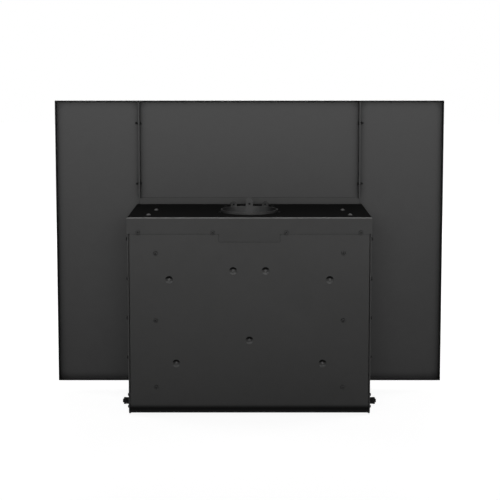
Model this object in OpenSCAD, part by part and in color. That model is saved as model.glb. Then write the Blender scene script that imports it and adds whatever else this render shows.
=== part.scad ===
/* [Surround] */
// Overall width of the three-piece surround
surround_w = 1117.6; // [1000:1:1250]
// Overall height of the surround
surround_h = 818.7; // [780:0.1:950]
// Height of the surround's lower edge above the floor
surround_lift = 22.5; // [10:0.5:30]
// Depth of the surround from its face back to the wall
surround_depth = 25; // [22:1:40]
// Thickness of the surround's sheet
surround_t = 2; // [1.5:0.1:3]
// Distance of the surround's seams outside the casing
seam_margin = 22.5; // [20:0.5:24]
// Depth of the flanges that bolt the panels together
seam_flange = 20; // [16:1:21]
// How far the side panels run in behind the body
side_tuck = 18; // [16:1:19]
// Distance of the upper seam screw below the surround's top
seam_screw_top = 65; // [40:1:90]
// Height of the lower seam screw above the cover's upstand
seam_screw_rise = 41.9; // [30:0.1:60]

/* [Jacket] */
// How far the jacket reaches out past the surround's seams
jacket_margin = 10; // [6:0.5:12]
// Height of the jacket above the floor
jacket_h = 540; // [520:1:580]
// Depth of the jacket behind the surround's sheet
jacket_depth = 313; // [290:1:340]
// Thickness of the top cover
cover_t = 1.5; // [1:0.1:2]
// Thickness of the rear panel
rear_t = 2; // [1.5:0.1:3]
// Thickness of the side panels
side_t = 4; // [3:0.5:5]
// Radius of the bend between the rear panel and its floor
floor_bend_r = 18.5; // [14:0.5:22]
// Radius of the bend at the rear of the top cover
cover_bend_r = 4; // [3:0.5:6]
// Height of the cover's upstand in front of the surround
upstand_h = 19.3; // [10:0.1:24]
// Depth of the cover's side flanges
cover_side_flange = 16; // [10:1:20]
// Depth of the cover's rear flange
cover_rear_flange = 45; // [40:0.1:50]
// Width of the tab in the middle of the rear flange
cover_tab_w = 163; // [120:1:180]
// Depth of the tab in the middle of the rear flange
cover_tab_depth = 66.5; // [56:0.5:75]

/* [Dimples] */
// Radius of a pressed dimple at its rim
dimple_r = 10.5; // [9:0.5:13]
// Depth of a pressed dimple
dimple_depth = 4; // [3:0.5:5]

/* [Flue] */
// Inner radius of the flue collar
flue_r = 76.2; // [63:0.1:77]
// Wall thickness of the flue collar
flue_t = 3; // [2.5:0.1:4]
// Distance of the flue's centre from the rear face
flue_from_rear = 134; // [128:1:145]
// Height of the collar above the top cover
collar_rise = 6.5; // [4:0.5:12]
// Height of the collar's outer ears above the top cover
ear_rise = 21.5; // [18:0.5:26]
// Height of the collar's middle ear above the top cover
mid_ear_rise = 31; // [24:1:34]
// Width of a collar ear
ear_w = 20; // [14:1:24]
// Angle between the middle ear and an outer ear
ear_step = 35; // [30:1:50]

/* [Firebox] */
// Distance of the firebox's sides inside the casing's outer faces
firebox_margin = 26; // [22:1:36]
// Height of the firebox floor's underside
firebox_z = 92; // [88:1:100]
// Gap between the firebox's roof and the jacket's top
roof_gap = 50; // [44:1:60]
// Thickness of the firebox plate
firebox_t = 5; // [4:0.5:6]
// Gap between the firebox and the rear panel
rear_gap = 31; // [25:1:40]
// Thickness of the firebricks
brick_t = 30; // [25:1:32]
// Joint between two firebricks
brick_gap = 1; // [0.6:0.1:1.5]
// Height over the brick walls for the tubes, the baffle and the smoke
baffle_zone = 116; // [112:1:130]

/* [Front] */
// Distance of the front plate's face in front of the wall
front_reach = 215; // [200:1:260]
// Thickness of the front plate
front_t = 6; // [5:0.5:8]
// Outer half width of the front casing
casing_half_w = 296; // [290:1:300]
// Thickness of the casing's cheeks
cheek_t = 4; // [3:0.5:5]
// Thickness of the hood over the casing
hood_t = 3; // [2:0.5:4]
// Thickness of the flange that carries the surround
face_flange_t = 3; // [2.5:0.5:4]
// How far that flange laps over the surround's edge
face_flange_lap = 15; // [10:1:25]

/* [Door] */
// Distance of the door's side edges inside the casing's outer faces
door_inset = 46; // [44:1:50]
// Distance of the door's edges from the firebox's floor and roof
door_margin = 20; // [18:1:24]
// Thickness of the door casting
door_t = 22; // [22:0.5:24]
// How far the door laps over its opening at each side
mouth_side_lap = 45; // [44:1:60]
// How far the door laps over its opening at the top and the bottom
mouth_lap = 28; // [26:1:36]
// Width of the door's stiles beside the window
window_stile = 64; // [60:1:80]
// Height of the door's rails over and under the window
window_rail = 43; // [40:1:53]
// Thickness of the ceramic glass
glass_t = 4.8; // [4:0.1:5]
// Radius of the door's rope seal
rope_r = 5.5; // [5:0.1:6]
// Radius of a hinge pin
hinge_pin_r = 5; // [4:0.5:6]
// Radius of the latch shaft
latch_r = 6; // [5:0.5:7]
// Length of the handle's grip
grip_l = 100; // [80:1:130]
// Radius of the handle's grip
grip_r = 9; // [8:0.5:11]

/* [Air] */
// Radius of an air tube
tube_r = 11; // [9:0.5:12]
// Wall thickness of an air tube
tube_t = 2; // [1.5:0.1:2.5]
// Number of air tubes under the baffle
tube_count = 4; // [3:1:4]
// Radius of the air control's rod
rod_r = 4; // [3:0.5:5]
// Travel of the air control
air_travel = 45; // [30:1:50]

/* [Blower] */
// Outer radius of a blower wheel
wheel_r = 27; // [24:0.5:28]
// Width of a blower wheel
wheel_w = 98; // [80:1:100]
// Number of blades on a wheel
blade_count = 20; // [12:1:24]
// Radius of the blower's motor
motor_r = 33; // [28:1:36]
// Half length of the blower's motor
motor_half_l = 42; // [36:1:44]
// Radius of the blower's shaft
shaft_r = 4; // [3:0.5:5]
// Width of a slot in the front grille
grille_slot_w = 7; // [5:0.5:8]
// Spacing of the slots in the front grille
grille_pitch = 13; // [12:0.5:20]

/* [Levellers] */
// Radius of a levelling screw
leveller_r = 5; // [4:0.5:6]
// Distance of the levelling screws from the rear face
leveller_from_rear = 33; // [33:1:40]
// Height of the clamp bolt above the floor
clamp_z = 31.2; // [30:0.1:34]

/* [Hidden] */
$fn = 64;
eps = 0.01;

// Clearances
fit_gap = 0.5;
seam_gap = 0.3;
running_gap = 0.05;
moving_gap = 0.3;
hole_gap = 0.2;
weld_gap = 0.05;
roof_hole_gap = 1.5;

// Planes along the depth: the wall is at zero and the front is negative
face_y = -surround_depth;
sheet_y = face_y + surround_t;
rear_y = sheet_y + jacket_depth;
rear_in_y = rear_y - rear_t;
flange_y = face_y - face_flange_t;
front_y = -front_reach;
front_in_y = front_y + front_t;
firebox_rear_y = rear_in_y - rear_gap;
flue_y = rear_y - flue_from_rear;

// Heights
firebox_top = jacket_h - roof_gap;
surround_top_z = surround_lift + surround_h;
cover_in_z = jacket_h - cover_t;
upstand_z = jacket_h + upstand_h;
tuck_z = jacket_h - 8;
floor_in_z = firebox_z + firebox_t;
roof_in_z = firebox_top - firebox_t;
brick_floor_z = floor_in_z + brick_t;
brick_top_z = firebox_top - baffle_zone;
brick_wall_h = brick_top_z - brick_floor_z;
cheek_drop = 13;
cheek_z = jacket_h - cheek_drop;
hood_z = cheek_z + hood_t;
jacket_floor_z = 2;
base_t = 2;
rear_top_z = cover_in_z - cover_bend_r;
rear_flange_z = 62;

// Widths and bends
bend_r = 3;
seam_x = casing_half_w + seam_margin;
jacket_w = 2 * (seam_x + jacket_margin);
tuck_x = seam_x - side_tuck;
side_out_x = jacket_w / 2 - cover_t;
side_in_x = side_out_x - side_t;
rear_x = side_in_x - fit_gap;
casing_in_x = casing_half_w - cheek_t;
flange_in_x = casing_half_w + moving_gap;
flange_side_over = 6;
flange_out_x = seam_x + face_flange_lap + flange_side_over;
flange_top_z = upstand_z + face_flange_lap;
firebox_half_w = casing_half_w - firebox_margin;
firebox_in_x = firebox_half_w - firebox_t;
collar_out_r = flue_r + flue_t;
collar_foot_t = 6;
ear_bolt_rise = 12;
ear_setback = 0.6;

// Fasteners
small_head_r = 6;
small_head_h = 4.5;
small_shank_r = 2.4;
small_shank_l = 9;
seam_screw_y = sheet_y + seam_flange / 2;
cover_screw_z = jacket_h - cover_rear_flange + 4.2;
cover_screw_x = [98.4, rear_x - 24.5];
rear_screw_x = rear_x - 70.5;
rear_screw_low = 77;
rear_screw_high = jacket_h - 97;
rear_screw_z = [rear_screw_low, (rear_screw_low + rear_screw_high) / 2, rear_screw_high];
side_screw_y = rear_y - 13;
side_screw_low = 157;
side_screw_high = jacket_h - 60.3;
side_screw_rows = 4;
side_screw_z = [for (i = [0:side_screw_rows - 1])
    side_screw_low + i * (side_screw_high - side_screw_low) / (side_screw_rows - 1)];
guide_screw_dz = [-15.9, 16.8];
top_screw_at = [
    [firebox_half_w - 9.7, rear_y - 163.5], [firebox_half_w + 2.5, rear_y - 49.5]
];
collar_bolt_at = [80.5, flue_y + 28];
collar_screw_at = [67.3, flue_y - 120];
surround_screw_x = (tuck_x + seam_x) / 2;
surround_screw_low = 90;
surround_screw_high = jacket_h - 70;
surround_screw_z = [surround_screw_low, (surround_screw_low + surround_screw_high) / 2,
    surround_screw_high];
dimple_centre_z = 205.6;
dimple_low = [rear_screw_x - 54.7, 142.3];
dimple_high = [rear_screw_x - 36.4, jacket_h - 169.2];
dimple_inner = [43.6, jacket_h - 144.8];
dimple_at = [
    [0, dimple_centre_z], for (s = [-1, 1], p = [dimple_low, dimple_high, dimple_inner])
        [s * p[0], p[1]]
];
stud_r = 6;
stud_thread_gap = 0.1;
dimple_ball_r = (dimple_r * dimple_r + dimple_depth * dimple_depth) / (2 * dimple_depth);

// Door
door_back_y = front_y - 6;
door_face_y = door_back_y - door_t;
door_z0 = firebox_z + door_margin;
door_z1 = firebox_top - door_margin;
door_h = door_z1 - door_z0;
door_half_w = casing_half_w - door_inset;
door_mid_z = (door_z0 + door_z1) / 2;
mouth_h = door_h - 2 * mouth_lap;
mouth_half_w = door_half_w - mouth_side_lap;
window_h = door_h - 2 * window_rail;
window_half_w = door_half_w - window_stile;
door_skin = 7.5;
tape_t = 1.2;
glass_half_w = window_half_w + 13;
glass_half_h = window_h / 2 + 13;
glass_y0 = door_face_y + door_skin + tape_t;
glass_y1 = glass_y0 + glass_t;
ledge_half_w = glass_half_w + 11;
ledge_half_h = glass_half_h + 10;
rope_half_w = mouth_half_w + 14;
rope_half_h = mouth_h / 2 + 14;
rope_y = front_y - moving_gap - rope_r;
rope_corner_r = 18;
hinge_x = -(door_half_w + 14);
hinge_y = door_back_y - 12;
knuckle_r = hinge_pin_r + 3.5;
knuckle_h = 30;
knuckle_inset = 40;
knuckle_z = [door_z0 + knuckle_inset, door_z1 - knuckle_inset - knuckle_h];
bracket_arm_h = 12;
latch_x = door_half_w - 14;
latch_z = door_mid_z;
tongue_l = 30;
tongue_w = 14;
tongue_t = 6;
tongue_y0 = door_back_y - 14;
tongue_y1 = tongue_y0 + tongue_t;
hub_y0 = door_face_y - 19;
hub_y1 = door_face_y - moving_gap;

clip_points = [
    for (s = [-1, 1]) [s * (glass_half_w + 6), 0],
    for (s = [-1, 1], x = [-0.55, 0.55]) [x * glass_half_w, s * (glass_half_h + 5)]
];

// Air passages
tube_z = brick_top_z + 13;
manifold_x = firebox_in_x - 28;
tube_front_y = -95;
tube_back_y = firebox_rear_y - firebox_t - 32;
baffle_z = tube_z + tube_r;
baffle_t = 25;
blanket_t = 12;
baffle_front_y = tube_front_y - 25;
rod_x = -(casing_in_x - 74);
rod_z = 46;
air_box_z = 72;
air_box_y0 = -140;
air_box_y1 = 10;
air_box_half_w = 32;
damper_t = 2;
damper_z1 = air_box_z - moving_gap;
damper_y0 = -118;
damper_y1 = -50;

// Blower
blower_y = -158;
blower_z = 46;
wheel_x0 = motor_half_l + 13;
scroll_r0 = wheel_r + 4;
scroll_growth = 9;
scroll_turn = 270;
scroll_t = 1.5;
scroll_end_gap = 2.5;
outlet_y = blower_y + 62;
support_x = casing_in_x - 37;
support_t = 3;
grille_t = 4;
grille_z0 = 4;
grille_z1 = firebox_z - 10;
grille_half_w = casing_in_x - fit_gap;
knob_x = casing_in_x - 50;
knob_r = 16;
knob_shaft_r = 3;
control_half_w = 11;
control_half_h = 22;
control_l = 26;
switch_x = casing_in_x - 142;
switch_r = 12;
switch_h = 9;
slots_half_w = casing_in_x - 102;
slot_half_h = (grille_z1 - grille_z0) / 2 - 11;
ash_lip_z = firebox_z - 8;
ash_lip_reach = 72;
louvre_half_w = casing_half_w - 60;
louvre_z0 = firebox_top + 3;
louvre_z1 = cheek_z - 6;
vent_low = 40;
vent_high = 80;
inlet_y = flange_y - 30;
inlet_z = 42;
inlet_r = 7;
leveller_y = rear_y - leveller_from_rear;
leveller_x = side_in_x - 18;
leveller_foot_t = 5;
leveller_flats = 16;
bracket_t = 6;
bracket_w = 28;

// General shapes
module block(x0, x1, y0, y1, z0, z1) {
    translate([x0, y0, z0]) cube([x1 - x0, y1 - y0, z1 - z0]);
}

module both_sides() {
    children();
    mirror([1, 0, 0]) children();
}

// Draws in X and Z, and gives it a thickness along Y
module slab_y(y0, y1) {
    translate([0, y1, 0]) rotate([90, 0, 0]) linear_extrude(y1 - y0) children();
}

// Draws in Y and Z, and gives it a length along X
module slab_x(x0, x1) {
    translate([x0, 0, 0]) rotate([90, 0, 90]) linear_extrude(x1 - x0) children();
}

module slab_z(z0, z1) {
    translate([0, 0, z0]) linear_extrude(z1 - z0) children();
}

module rod_along_x(r, x0, x1) {
    translate([x0, 0, 0]) rotate([0, 90, 0]) cylinder(r = r, h = x1 - x0);
}

module rod_along_y(r, y0, y1) {
    translate([0, y0, 0]) rotate([-90, 0, 0]) cylinder(r = r, h = y1 - y0);
}

module round_rect(x0, x1, y0, y1, r) {
    translate([x0 + r, y0]) square([x1 - x0 - 2 * r, y1 - y0]);
    translate([x0, y0 + r]) square([x1 - x0, y1 - y0 - 2 * r]);
    for (x = [x0 + r, x1 - r], y = [y0 + r, y1 - r])
        translate([x, y]) circle(r);
}

// A rectangle with only its first corner rounded, on the low side of both axes
module corner_rect(x0, x1, y0, y1, r) {
    translate([x0 + r, y0]) square([x1 - x0 - r, y1 - y0]);
    translate([x0, y0 + r]) square([x1 - x0, y1 - y0 - r]);
    translate([x0 + r, y0 + r]) circle(r);
}

// Low domed head with a hexagon socket, seated on its origin
module dome_head(r, h) {
    ball_r = (r * r + h * h) / (2 * h);
    difference() {
        intersection() {
            translate([0, 0, h - ball_r]) sphere(ball_r);
            cylinder(r = r + 1, h = h);
        }
        translate([0, 0, h * 0.45]) cylinder(r = r * 0.36, h = h, $fn = 6);
    }
}

module dome_screw(r, h, shank_r, shank_l) {
    dome_head(r, h);
    translate([0, 0, -shank_l]) cylinder(r = shank_r, h = shank_l + h * 0.3);
}

module hex_bolt(across, head_h, shank_r, shank_l) {
    cylinder(r = across * 0.62, h = 1.4);
    cylinder(r = across / sqrt(3), h = head_h, $fn = 6);
    translate([0, 0, -shank_l]) cylinder(r = shank_r, h = shank_l + 1);
}

module to_rear() {
    rotate([-90, 0, 0]) children();
}

module to_front() {
    rotate([90, 0, 0]) children();
}

module to_right() {
    rotate([0, 90, 0]) children();
}

// Surround: each panel is a folded tray, open towards the wall
module tray_solid(x0, x1, z0, z1, inset, r, closed) {
    intersection() {
        slab_z(z0, z1 - inset)
            translate([0, face_y + inset])
                tray_plan(x0 + inset, x1 - inset, surround_depth, r);
        slab_x(x0 - 1, x1 + 1)
            translate([face_y + inset, 0])
                tray_side(z0, z1 - inset, surround_depth + inset, r, closed);
    }
}

module tray_plan(x0, x1, depth, r) {
    translate([x0 + r, 0]) square([x1 - x0 - 2 * r, depth]);
    translate([x0, r]) square([x1 - x0, depth - r]);
    for (x = [x0 + r, x1 - r])
        translate([x, r]) circle(r);
}

module tray_side(z0, z1, depth, r, closed) {
    low_r = closed ? r : 0;
    translate([0, z0 + low_r]) square([depth, z1 - z0 - r - low_r]);
    translate([r, z1 - 2 * r]) square([depth - r, 2 * r]);
    translate([r, z1 - r]) circle(r);
    if (closed) {
        translate([r, z0]) square([depth - r, 2 * r]);
        translate([r, z0 + r]) circle(r);
    }
}

// A folded tray, open at its lower edge unless it is closed
module tray(x0, x1, z0, z1, closed = false) {
    difference() {
        tray_solid(x0, x1, z0, z1, 0, bend_r, closed);
        tray_solid(x0, x1, closed ? z0 + surround_t : z0 - 1, z1, surround_t,
            bend_r - surround_t, closed);
    }
}

module seam_screw_points() {
    for (z = [upstand_z + seam_screw_rise, surround_top_z - seam_screw_top])
        translate([seam_x, seam_screw_y, z]) children();
}

module surround_side() {
    outer_x = surround_w / 2;
    foot_x = jacket_w / 2 + fit_gap;
    difference() {
        union() {
            tray(seam_x, outer_x, upstand_z, surround_top_z);
            difference() {
                tray(tuck_x, outer_x, surround_lift, surround_top_z, true);
                block(0, foot_x, sheet_y, surround_depth, surround_lift - 1,
                    surround_lift + surround_t + 1);
                block(0, outer_x - 20, -2 * surround_depth, surround_depth,
                    upstand_z - eps, surround_top_z + 1);
                block(0, tuck_x + 6, -2 * surround_depth, surround_depth,
                    surround_lift - 1, surround_top_z + 1);
            }
            block(tuck_x, tuck_x + 7, face_y, sheet_y, surround_lift, tuck_z);
        }
        block(0, seam_x, -2 * surround_depth, surround_depth, tuck_z, surround_top_z + 1);
        block(seam_x - 1, seam_x + 10, sheet_y + seam_flange, surround_depth,
            upstand_z - 1, surround_top_z - 2 * surround_t);
        seam_screw_points() rod_along_x(small_shank_r + hole_gap, -10, 10);
        for (z = surround_screw_z)
            translate([surround_screw_x, 0, z])
                rod_along_y(small_shank_r + hole_gap, face_y - 1, sheet_y + 1);
    }
}

module surround_left() {
    color("dimgray") mirror([1, 0, 0]) surround_side();
}

module surround_right() {
    color("dimgray") surround_side();
}

module surround_top() {
    half = seam_x - seam_gap;
    color("dimgray")
        difference() {
            tray(-half, half, upstand_z + seam_gap, surround_top_z);
            both_sides() {
                block(half - 10, half + 1, sheet_y + seam_flange, surround_depth,
                    upstand_z - 1, surround_top_z - 2 * surround_t);
                seam_screw_points() rod_along_x(small_shank_r + hole_gap, -10, 10);
            }
        }
}

module seam_screws() {
    color("black")
        both_sides() seam_screw_points()
            translate([surround_t, 0, 0]) to_right()
                dome_screw(5.5, 4, small_shank_r, 2 * surround_t + 5);
}

module surround_screws() {
    color("black")
        both_sides() for (z = surround_screw_z)
            translate([surround_screw_x, flange_y, z]) {
                to_front() dome_screw(5, 3.2, small_shank_r, 12);
                translate([0, face_flange_t + surround_t, 0])
                    to_rear() difference() {
                        cylinder(r = 4.6, h = 4, $fn = 6);
                        translate([0, 0, -1]) cylinder(r = small_shank_r, h = 6);
                    }
            }
}

// Jacket
module rear_wall_plan(inset, depth, r) {
    x = rear_x - inset;
    translate([-x + r, rear_y - inset - depth]) square([2 * (x - r), depth]);
    translate([-x, rear_y - inset - depth]) square([2 * x, depth - r]);
    for (s = [-1, 1])
        translate([s * (x - r), rear_y - inset - r]) circle(r);
}

module rear_profile() {
    r = floor_bend_r;
    centre = [rear_y - r, jacket_floor_z + r];
    translate([rear_in_y, centre[1]]) square([rear_t, rear_top_z - centre[1]]);
    translate([0, jacket_floor_z]) square([centre[0], rear_t]);
    intersection() {
        translate(centre) difference() {
            circle(r);
            circle(r - rear_t);
        }
        translate([centre[0], jacket_floor_z]) square([r, r]);
    }
}

module rear_panel() {
    color("dimgray")
        difference() {
            union() {
                difference() {
                    union() {
                        slab_x(-rear_x, rear_x) rear_profile();
                        slab_z(rear_flange_z, rear_top_z) rear_wall_plan(0, 24, 3);
                    }
                    slab_z(rear_flange_z, cover_in_z) rear_wall_plan(rear_t, 30, 1);
                    both_sides() difference() {
                        block(rear_x - 3, rear_x + 1, rear_y - 3, rear_y + 1,
                            rear_flange_z, jacket_h);
                        translate([rear_x - 3, rear_y - 3, rear_flange_z - 1])
                            cylinder(r = 3, h = jacket_h);
                    }
                }
                for (p = dimple_at)
                    translate([p[0], rear_y - dimple_depth + dimple_ball_r, p[1]])
                        intersection() {
                            sphere(dimple_ball_r + rear_t);
                            block(-40, 40, -dimple_ball_r - 20,
                                dimple_depth - dimple_ball_r - rear_t / 2, -40, 40);
                        }
            }
            for (p = dimple_at)
                translate([p[0], 0, p[1]]) {
                    translate([0, rear_y - dimple_depth + dimple_ball_r, 0])
                        sphere(dimple_ball_r);
                    rod_along_y(small_shank_r + hole_gap, rear_y - 12, rear_y + 2);
                }
            for (s = [-1, 1], z = rear_screw_z)
                translate([s * rear_screw_x, 0, z])
                    rod_along_y(small_shank_r + hole_gap, rear_y - 5, rear_y + 2);
            for (s = [-1, 1], x = cover_screw_x)
                translate([s * x, 0, cover_screw_z])
                    rod_along_y(small_shank_r + hole_gap, rear_y - 5, rear_y + 2);
            for (s = [-1, 1], z = side_screw_z)
                translate([s * rear_x, side_screw_y, z])
                    rod_along_x(small_shank_r + hole_gap, -5, 5);
            for (s = [-1, 1])
                translate([s * leveller_x, leveller_y, 0])
                    cylinder(r = leveller_r + 6, h = 10);
        }
}

module side_screw_points() {
    for (z = side_screw_z)
        translate([side_out_x, side_screw_y, z]) children();
    for (dz = guide_screw_dz)
        translate([side_out_x, leveller_y, clamp_z + dz]) children();
}

module side_plate() {
    difference() {
        intersection() {
            slab_z(0, rear_top_z)
                translate([side_in_x, sheet_y]) {
                    square([side_t, rear_y - 1 - sheet_y - side_t / 2]);
                    translate([side_t / 2, rear_y - 1 - sheet_y - side_t / 2])
                        circle(side_t / 2);
                }
            slab_x(side_in_x - 1, side_out_x + 1)
                mirror([1, 0]) corner_rect(1 - rear_y, -sheet_y + 1, 0, jacket_h,
                    floor_bend_r - 1);
        }
        side_screw_points() rod_along_x(small_shank_r + hole_gap, -10, 2);
        translate([side_out_x, leveller_y, clamp_z]) rod_along_x(5.2, -10, 2);
    }
}

module side_panel_left() {
    color("gray") mirror([1, 0, 0]) side_plate();
}

module side_panel_right() {
    color("gray") side_plate();
}

module cover_block(inset) {
    half = jacket_w / 2 - inset;
    back = rear_y + cover_t - inset;
    top = jacket_h - inset;
    r = cover_bend_r - inset;
    intersection() {
        slab_x(-half, half) {
            translate([face_y, 0]) square([back - face_y, top - r]);
            translate([face_y, top - 2 * r]) square([back - face_y - r, 2 * r]);
            translate([back - r, top - r]) circle(r);
        }
        slab_y(face_y - 1, back + 1) {
            translate([-half, 0]) square([2 * half, top - r]);
            translate([-half + r, top - 2 * r]) square([2 * half - 2 * r, 2 * r]);
            for (s = [-1, 1])
                translate([s * (half - r), top - r]) circle(r);
        }
    }
}

module cover_screw_points() {
    for (s = [-1, 1], x = cover_screw_x)
        translate([s * x, rear_y + cover_t, cover_screw_z]) children();
}

module top_cover() {
    side_z = jacket_h - cover_side_flange;
    rear_z = jacket_h - cover_rear_flange;
    tab_z = jacket_h - cover_tab_depth;
    color("dimgray")
        difference() {
            union() {
                difference() {
                    cover_block(0);
                    cover_block(cover_t);
                    block(-jacket_w, jacket_w, face_y - 1, sheet_y, 0, jacket_h + 1);
                    block(-jacket_w, jacket_w, face_y - 2, rear_y - 2, -1, side_z);
                    both_sides() block(cover_tab_w / 2, jacket_w, rear_y - 3, rear_y + 5,
                        -1, rear_z);
                    block(-cover_tab_w, cover_tab_w, rear_y - 3, rear_y + 5, -1, tab_z);
                    both_sides() block(jacket_w / 2 - 4, jacket_w, rear_y - 3, rear_y - 1.5,
                        -1, jacket_h - cover_bend_r);
                }
                block(-seam_x + seam_gap, seam_x - seam_gap, face_y, sheet_y,
                    cover_in_z, upstand_z);
                block(-seam_x + seam_gap, seam_x - seam_gap, face_y, sheet_y + 3,
                    cover_in_z, jacket_h);
            }
            translate([0, flue_y, cover_in_z - 1]) cylinder(r = collar_out_r + 1, h = 5);
            cover_screw_points() rod_along_y(small_shank_r + hole_gap, -5, 5);
            both_sides() {
                for (p = top_screw_at)
                    translate([p[0], p[1], cover_in_z - 1])
                        cylinder(r = small_shank_r + hole_gap, h = 5);
                translate([collar_bolt_at[0], collar_bolt_at[1], cover_in_z - 1])
                    cylinder(r = small_shank_r + hole_gap, h = 5);
                translate([collar_screw_at[0], collar_screw_at[1], cover_in_z - 1])
                    cylinder(r = small_shank_r + hole_gap, h = 5);
            }
        }
}

module cover_screws() {
    color("black")
        cover_screw_points() to_rear() {
            cylinder(r = small_head_r + 0.8, h = 1);
            dome_screw(small_head_r, small_head_h, small_shank_r, small_shank_l);
        }
}

module rear_panel_screws() {
    color("black")
        for (s = [-1, 1], z = rear_screw_z)
            translate([s * rear_screw_x, rear_y, z]) to_rear()
                dome_screw(small_head_r, small_head_h, small_shank_r, small_shank_l);
}

module dimple_screws() {
    color("black")
        for (p = dimple_at)
            translate([p[0], rear_y - dimple_depth + 0.7, p[1]]) to_rear()
                dome_screw(4.3, 2.8, small_shank_r, 14);
}

module side_screws() {
    color("black")
        both_sides() side_screw_points() to_right()
            dome_screw(small_head_r, 5.5, small_shank_r, side_t + 3.5);
}

module top_screws() {
    color("silver")
        both_sides() for (p = top_screw_at)
            translate([p[0], p[1], jacket_h])
                dome_screw(small_head_r, small_head_h, small_shank_r, small_shank_l);
}

// Flue collar: a low ring with three ears on its front side
module ear_points(angles) {
    for (a = angles)
        translate([0, flue_y, 0]) rotate([0, 0, a]) children();
}

module flange_points() {
    for (a = [45:90:315])
        translate([0, flue_y, 0]) rotate([0, 0, a]) translate([collar_out_r + 8, 0, 0])
            children();
}

module ear(rise) {
    tip_z = jacket_h + rise - ear_w / 2;
    intersection() {
        translate([0, 0, jacket_h + 1]) cylinder(r = collar_out_r + 1.5, h = rise - 1);
        union() {
            block(-ear_w / 2, ear_w / 2, -collar_out_r - 9, -flue_r / 2, jacket_h, tip_z);
            translate([0, 0, tip_z]) rod_along_y(ear_w / 2, -collar_out_r - 9, -flue_r / 2);
        }
    }
}

module flue_collar() {
    collar_top_z = jacket_h + collar_rise;
    color("dimgray")
        difference() {
            union() {
                translate([0, flue_y, firebox_top]) {
                    cylinder(r = collar_out_r, h = collar_top_z - firebox_top);
                    cylinder(r = collar_out_r + 16, h = collar_foot_t);
                }
                ear_points([-ear_step, ear_step]) ear(ear_rise);
                ear_points([0]) ear(mid_ear_rise);
            }
            translate([0, flue_y, firebox_top - 1])
                cylinder(r = flue_r, h = jacket_h);
            translate([0, flue_y, collar_top_z])
                cylinder(r = flue_r + ear_setback, h = mid_ear_rise);
            ear_points([-ear_step, 0, ear_step]) translate([0, 0, jacket_h + ear_bolt_rise])
                rod_along_y(3.2, -collar_out_r - 10, -flue_r / 2);
            flange_points() translate([0, 0, firebox_top - 1])
                cylinder(r = 3.2, h = collar_foot_t + 3);
        }
}

module collar_bolts() {
    color("black") {
        ear_points([-ear_step, 0, ear_step])
            translate([0, -collar_out_r - 1.5, jacket_h + ear_bolt_rise]) to_front()
                hex_bolt(10, 5.5, 3, flue_t + 1);
        flange_points() translate([0, 0, firebox_top + collar_foot_t])
            hex_bolt(10, 5, 3, 11);
        both_sides() {
            translate([collar_bolt_at[0], collar_bolt_at[1], jacket_h])
                hex_bolt(8, 4, small_shank_r, 8);
            translate([collar_screw_at[0], collar_screw_at[1], jacket_h])
                dome_screw(5, 3.5, small_shank_r, 8);
        }
    }
}

// Levelling screws in the two rear corners
module leveller_brackets() {
    color("gray")
        both_sides() difference() {
            union() {
                block(side_in_x - bracket_t, side_in_x, leveller_y - bracket_w / 2,
                    leveller_y + bracket_w / 2, clamp_z - 18, clamp_z + 24);
                block(leveller_x - 13, side_in_x, leveller_y - bracket_w / 2,
                    leveller_y + bracket_w / 2, clamp_z - 12, clamp_z);
            }
            translate([leveller_x, leveller_y, 0])
                cylinder(r = leveller_r, h = clamp_z + 40);
            translate([side_in_x, leveller_y, clamp_z + guide_screw_dz[1]])
                rod_along_x(small_shank_r + hole_gap, -20, 2);
            translate([side_in_x, leveller_y, clamp_z + guide_screw_dz[0]])
                rod_along_x(small_shank_r + hole_gap, -bracket_t - 0.5, 2);
            translate([side_in_x, leveller_y, clamp_z])
                rod_along_x(5.2, -bracket_t - 1, 2);
        }
}

module leveller_clamp_bolts() {
    stack = [8, 15];
    color("black")
        both_sides() translate([side_out_x, leveller_y, clamp_z]) to_right() {
            cylinder(r = 9.5, h = 1.6);
            cylinder(r = 16.5 / sqrt(3), h = stack[0], $fn = 6);
            cylinder(r = 7, h = stack[0] + 1);
            translate([0, 0, stack[0] + 0.8])
                rotate([0, 0, 20]) cylinder(r = 16.5 / sqrt(3), h = stack[1] - stack[0], $fn = 6);
            translate([0, 0, -side_t - bracket_t + 0.5])
                cylinder(r = 5, h = stack[1] + side_t + bracket_t + 3);
        }
}

module leveller() {
    translate([leveller_x, leveller_y, 0]) {
        translate([0, 0, 2.5]) cylinder(r = leveller_r + 4, h = leveller_foot_t);
        translate([0, 0, 5]) cylinder(r = leveller_r - running_gap, h = clamp_z + 30);
        translate([0, 0, clamp_z + 27])
            cylinder(r = leveller_flats / sqrt(3), h = 8, $fn = 6);
    }
}

module leveller_left() {
    color("silver") mirror([1, 0, 0]) leveller();
}

module leveller_right() {
    color("silver") leveller();
}

// What joins the jacket's rear to the firebox
module spacer_studs() {
    dish_y = rear_y - dimple_depth - rear_t;
    color("silver")
        for (p = dimple_at)
            translate([p[0], 0, p[1]]) difference() {
                rod_along_y(stud_r, firebox_rear_y, dish_y);
                rod_along_y(small_shank_r + stud_thread_gap, firebox_rear_y + stud_r, dish_y + 1);
            }
}

module rear_rails() {
    w = 30;
    t = 1.5;
    rail_z0 = 30;
    color("gray")
        both_sides() difference() {
            translate([rear_screw_x - w / 2, firebox_rear_y, rail_z0])
                cube([w, rear_gap, rear_screw_high + 27 - rail_z0]);
            translate([rear_screw_x - w / 2 + t, firebox_rear_y - 1, rail_z0 - 10])
                cube([w - 2 * t, rear_gap + 1 - t, jacket_h]);
            for (z = rear_screw_z)
                translate([rear_screw_x, 0, z])
                    rod_along_y(small_shank_r + hole_gap, rear_in_y - 5, rear_in_y + 2);
        }
}

// Firebox: plates welded edge to edge
module air_slot(z0, z1) {
    block(rod_x - 22, rod_x + 22, air_box_y0 + 12, air_box_y0 + 24, z0, z1);
}

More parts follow.
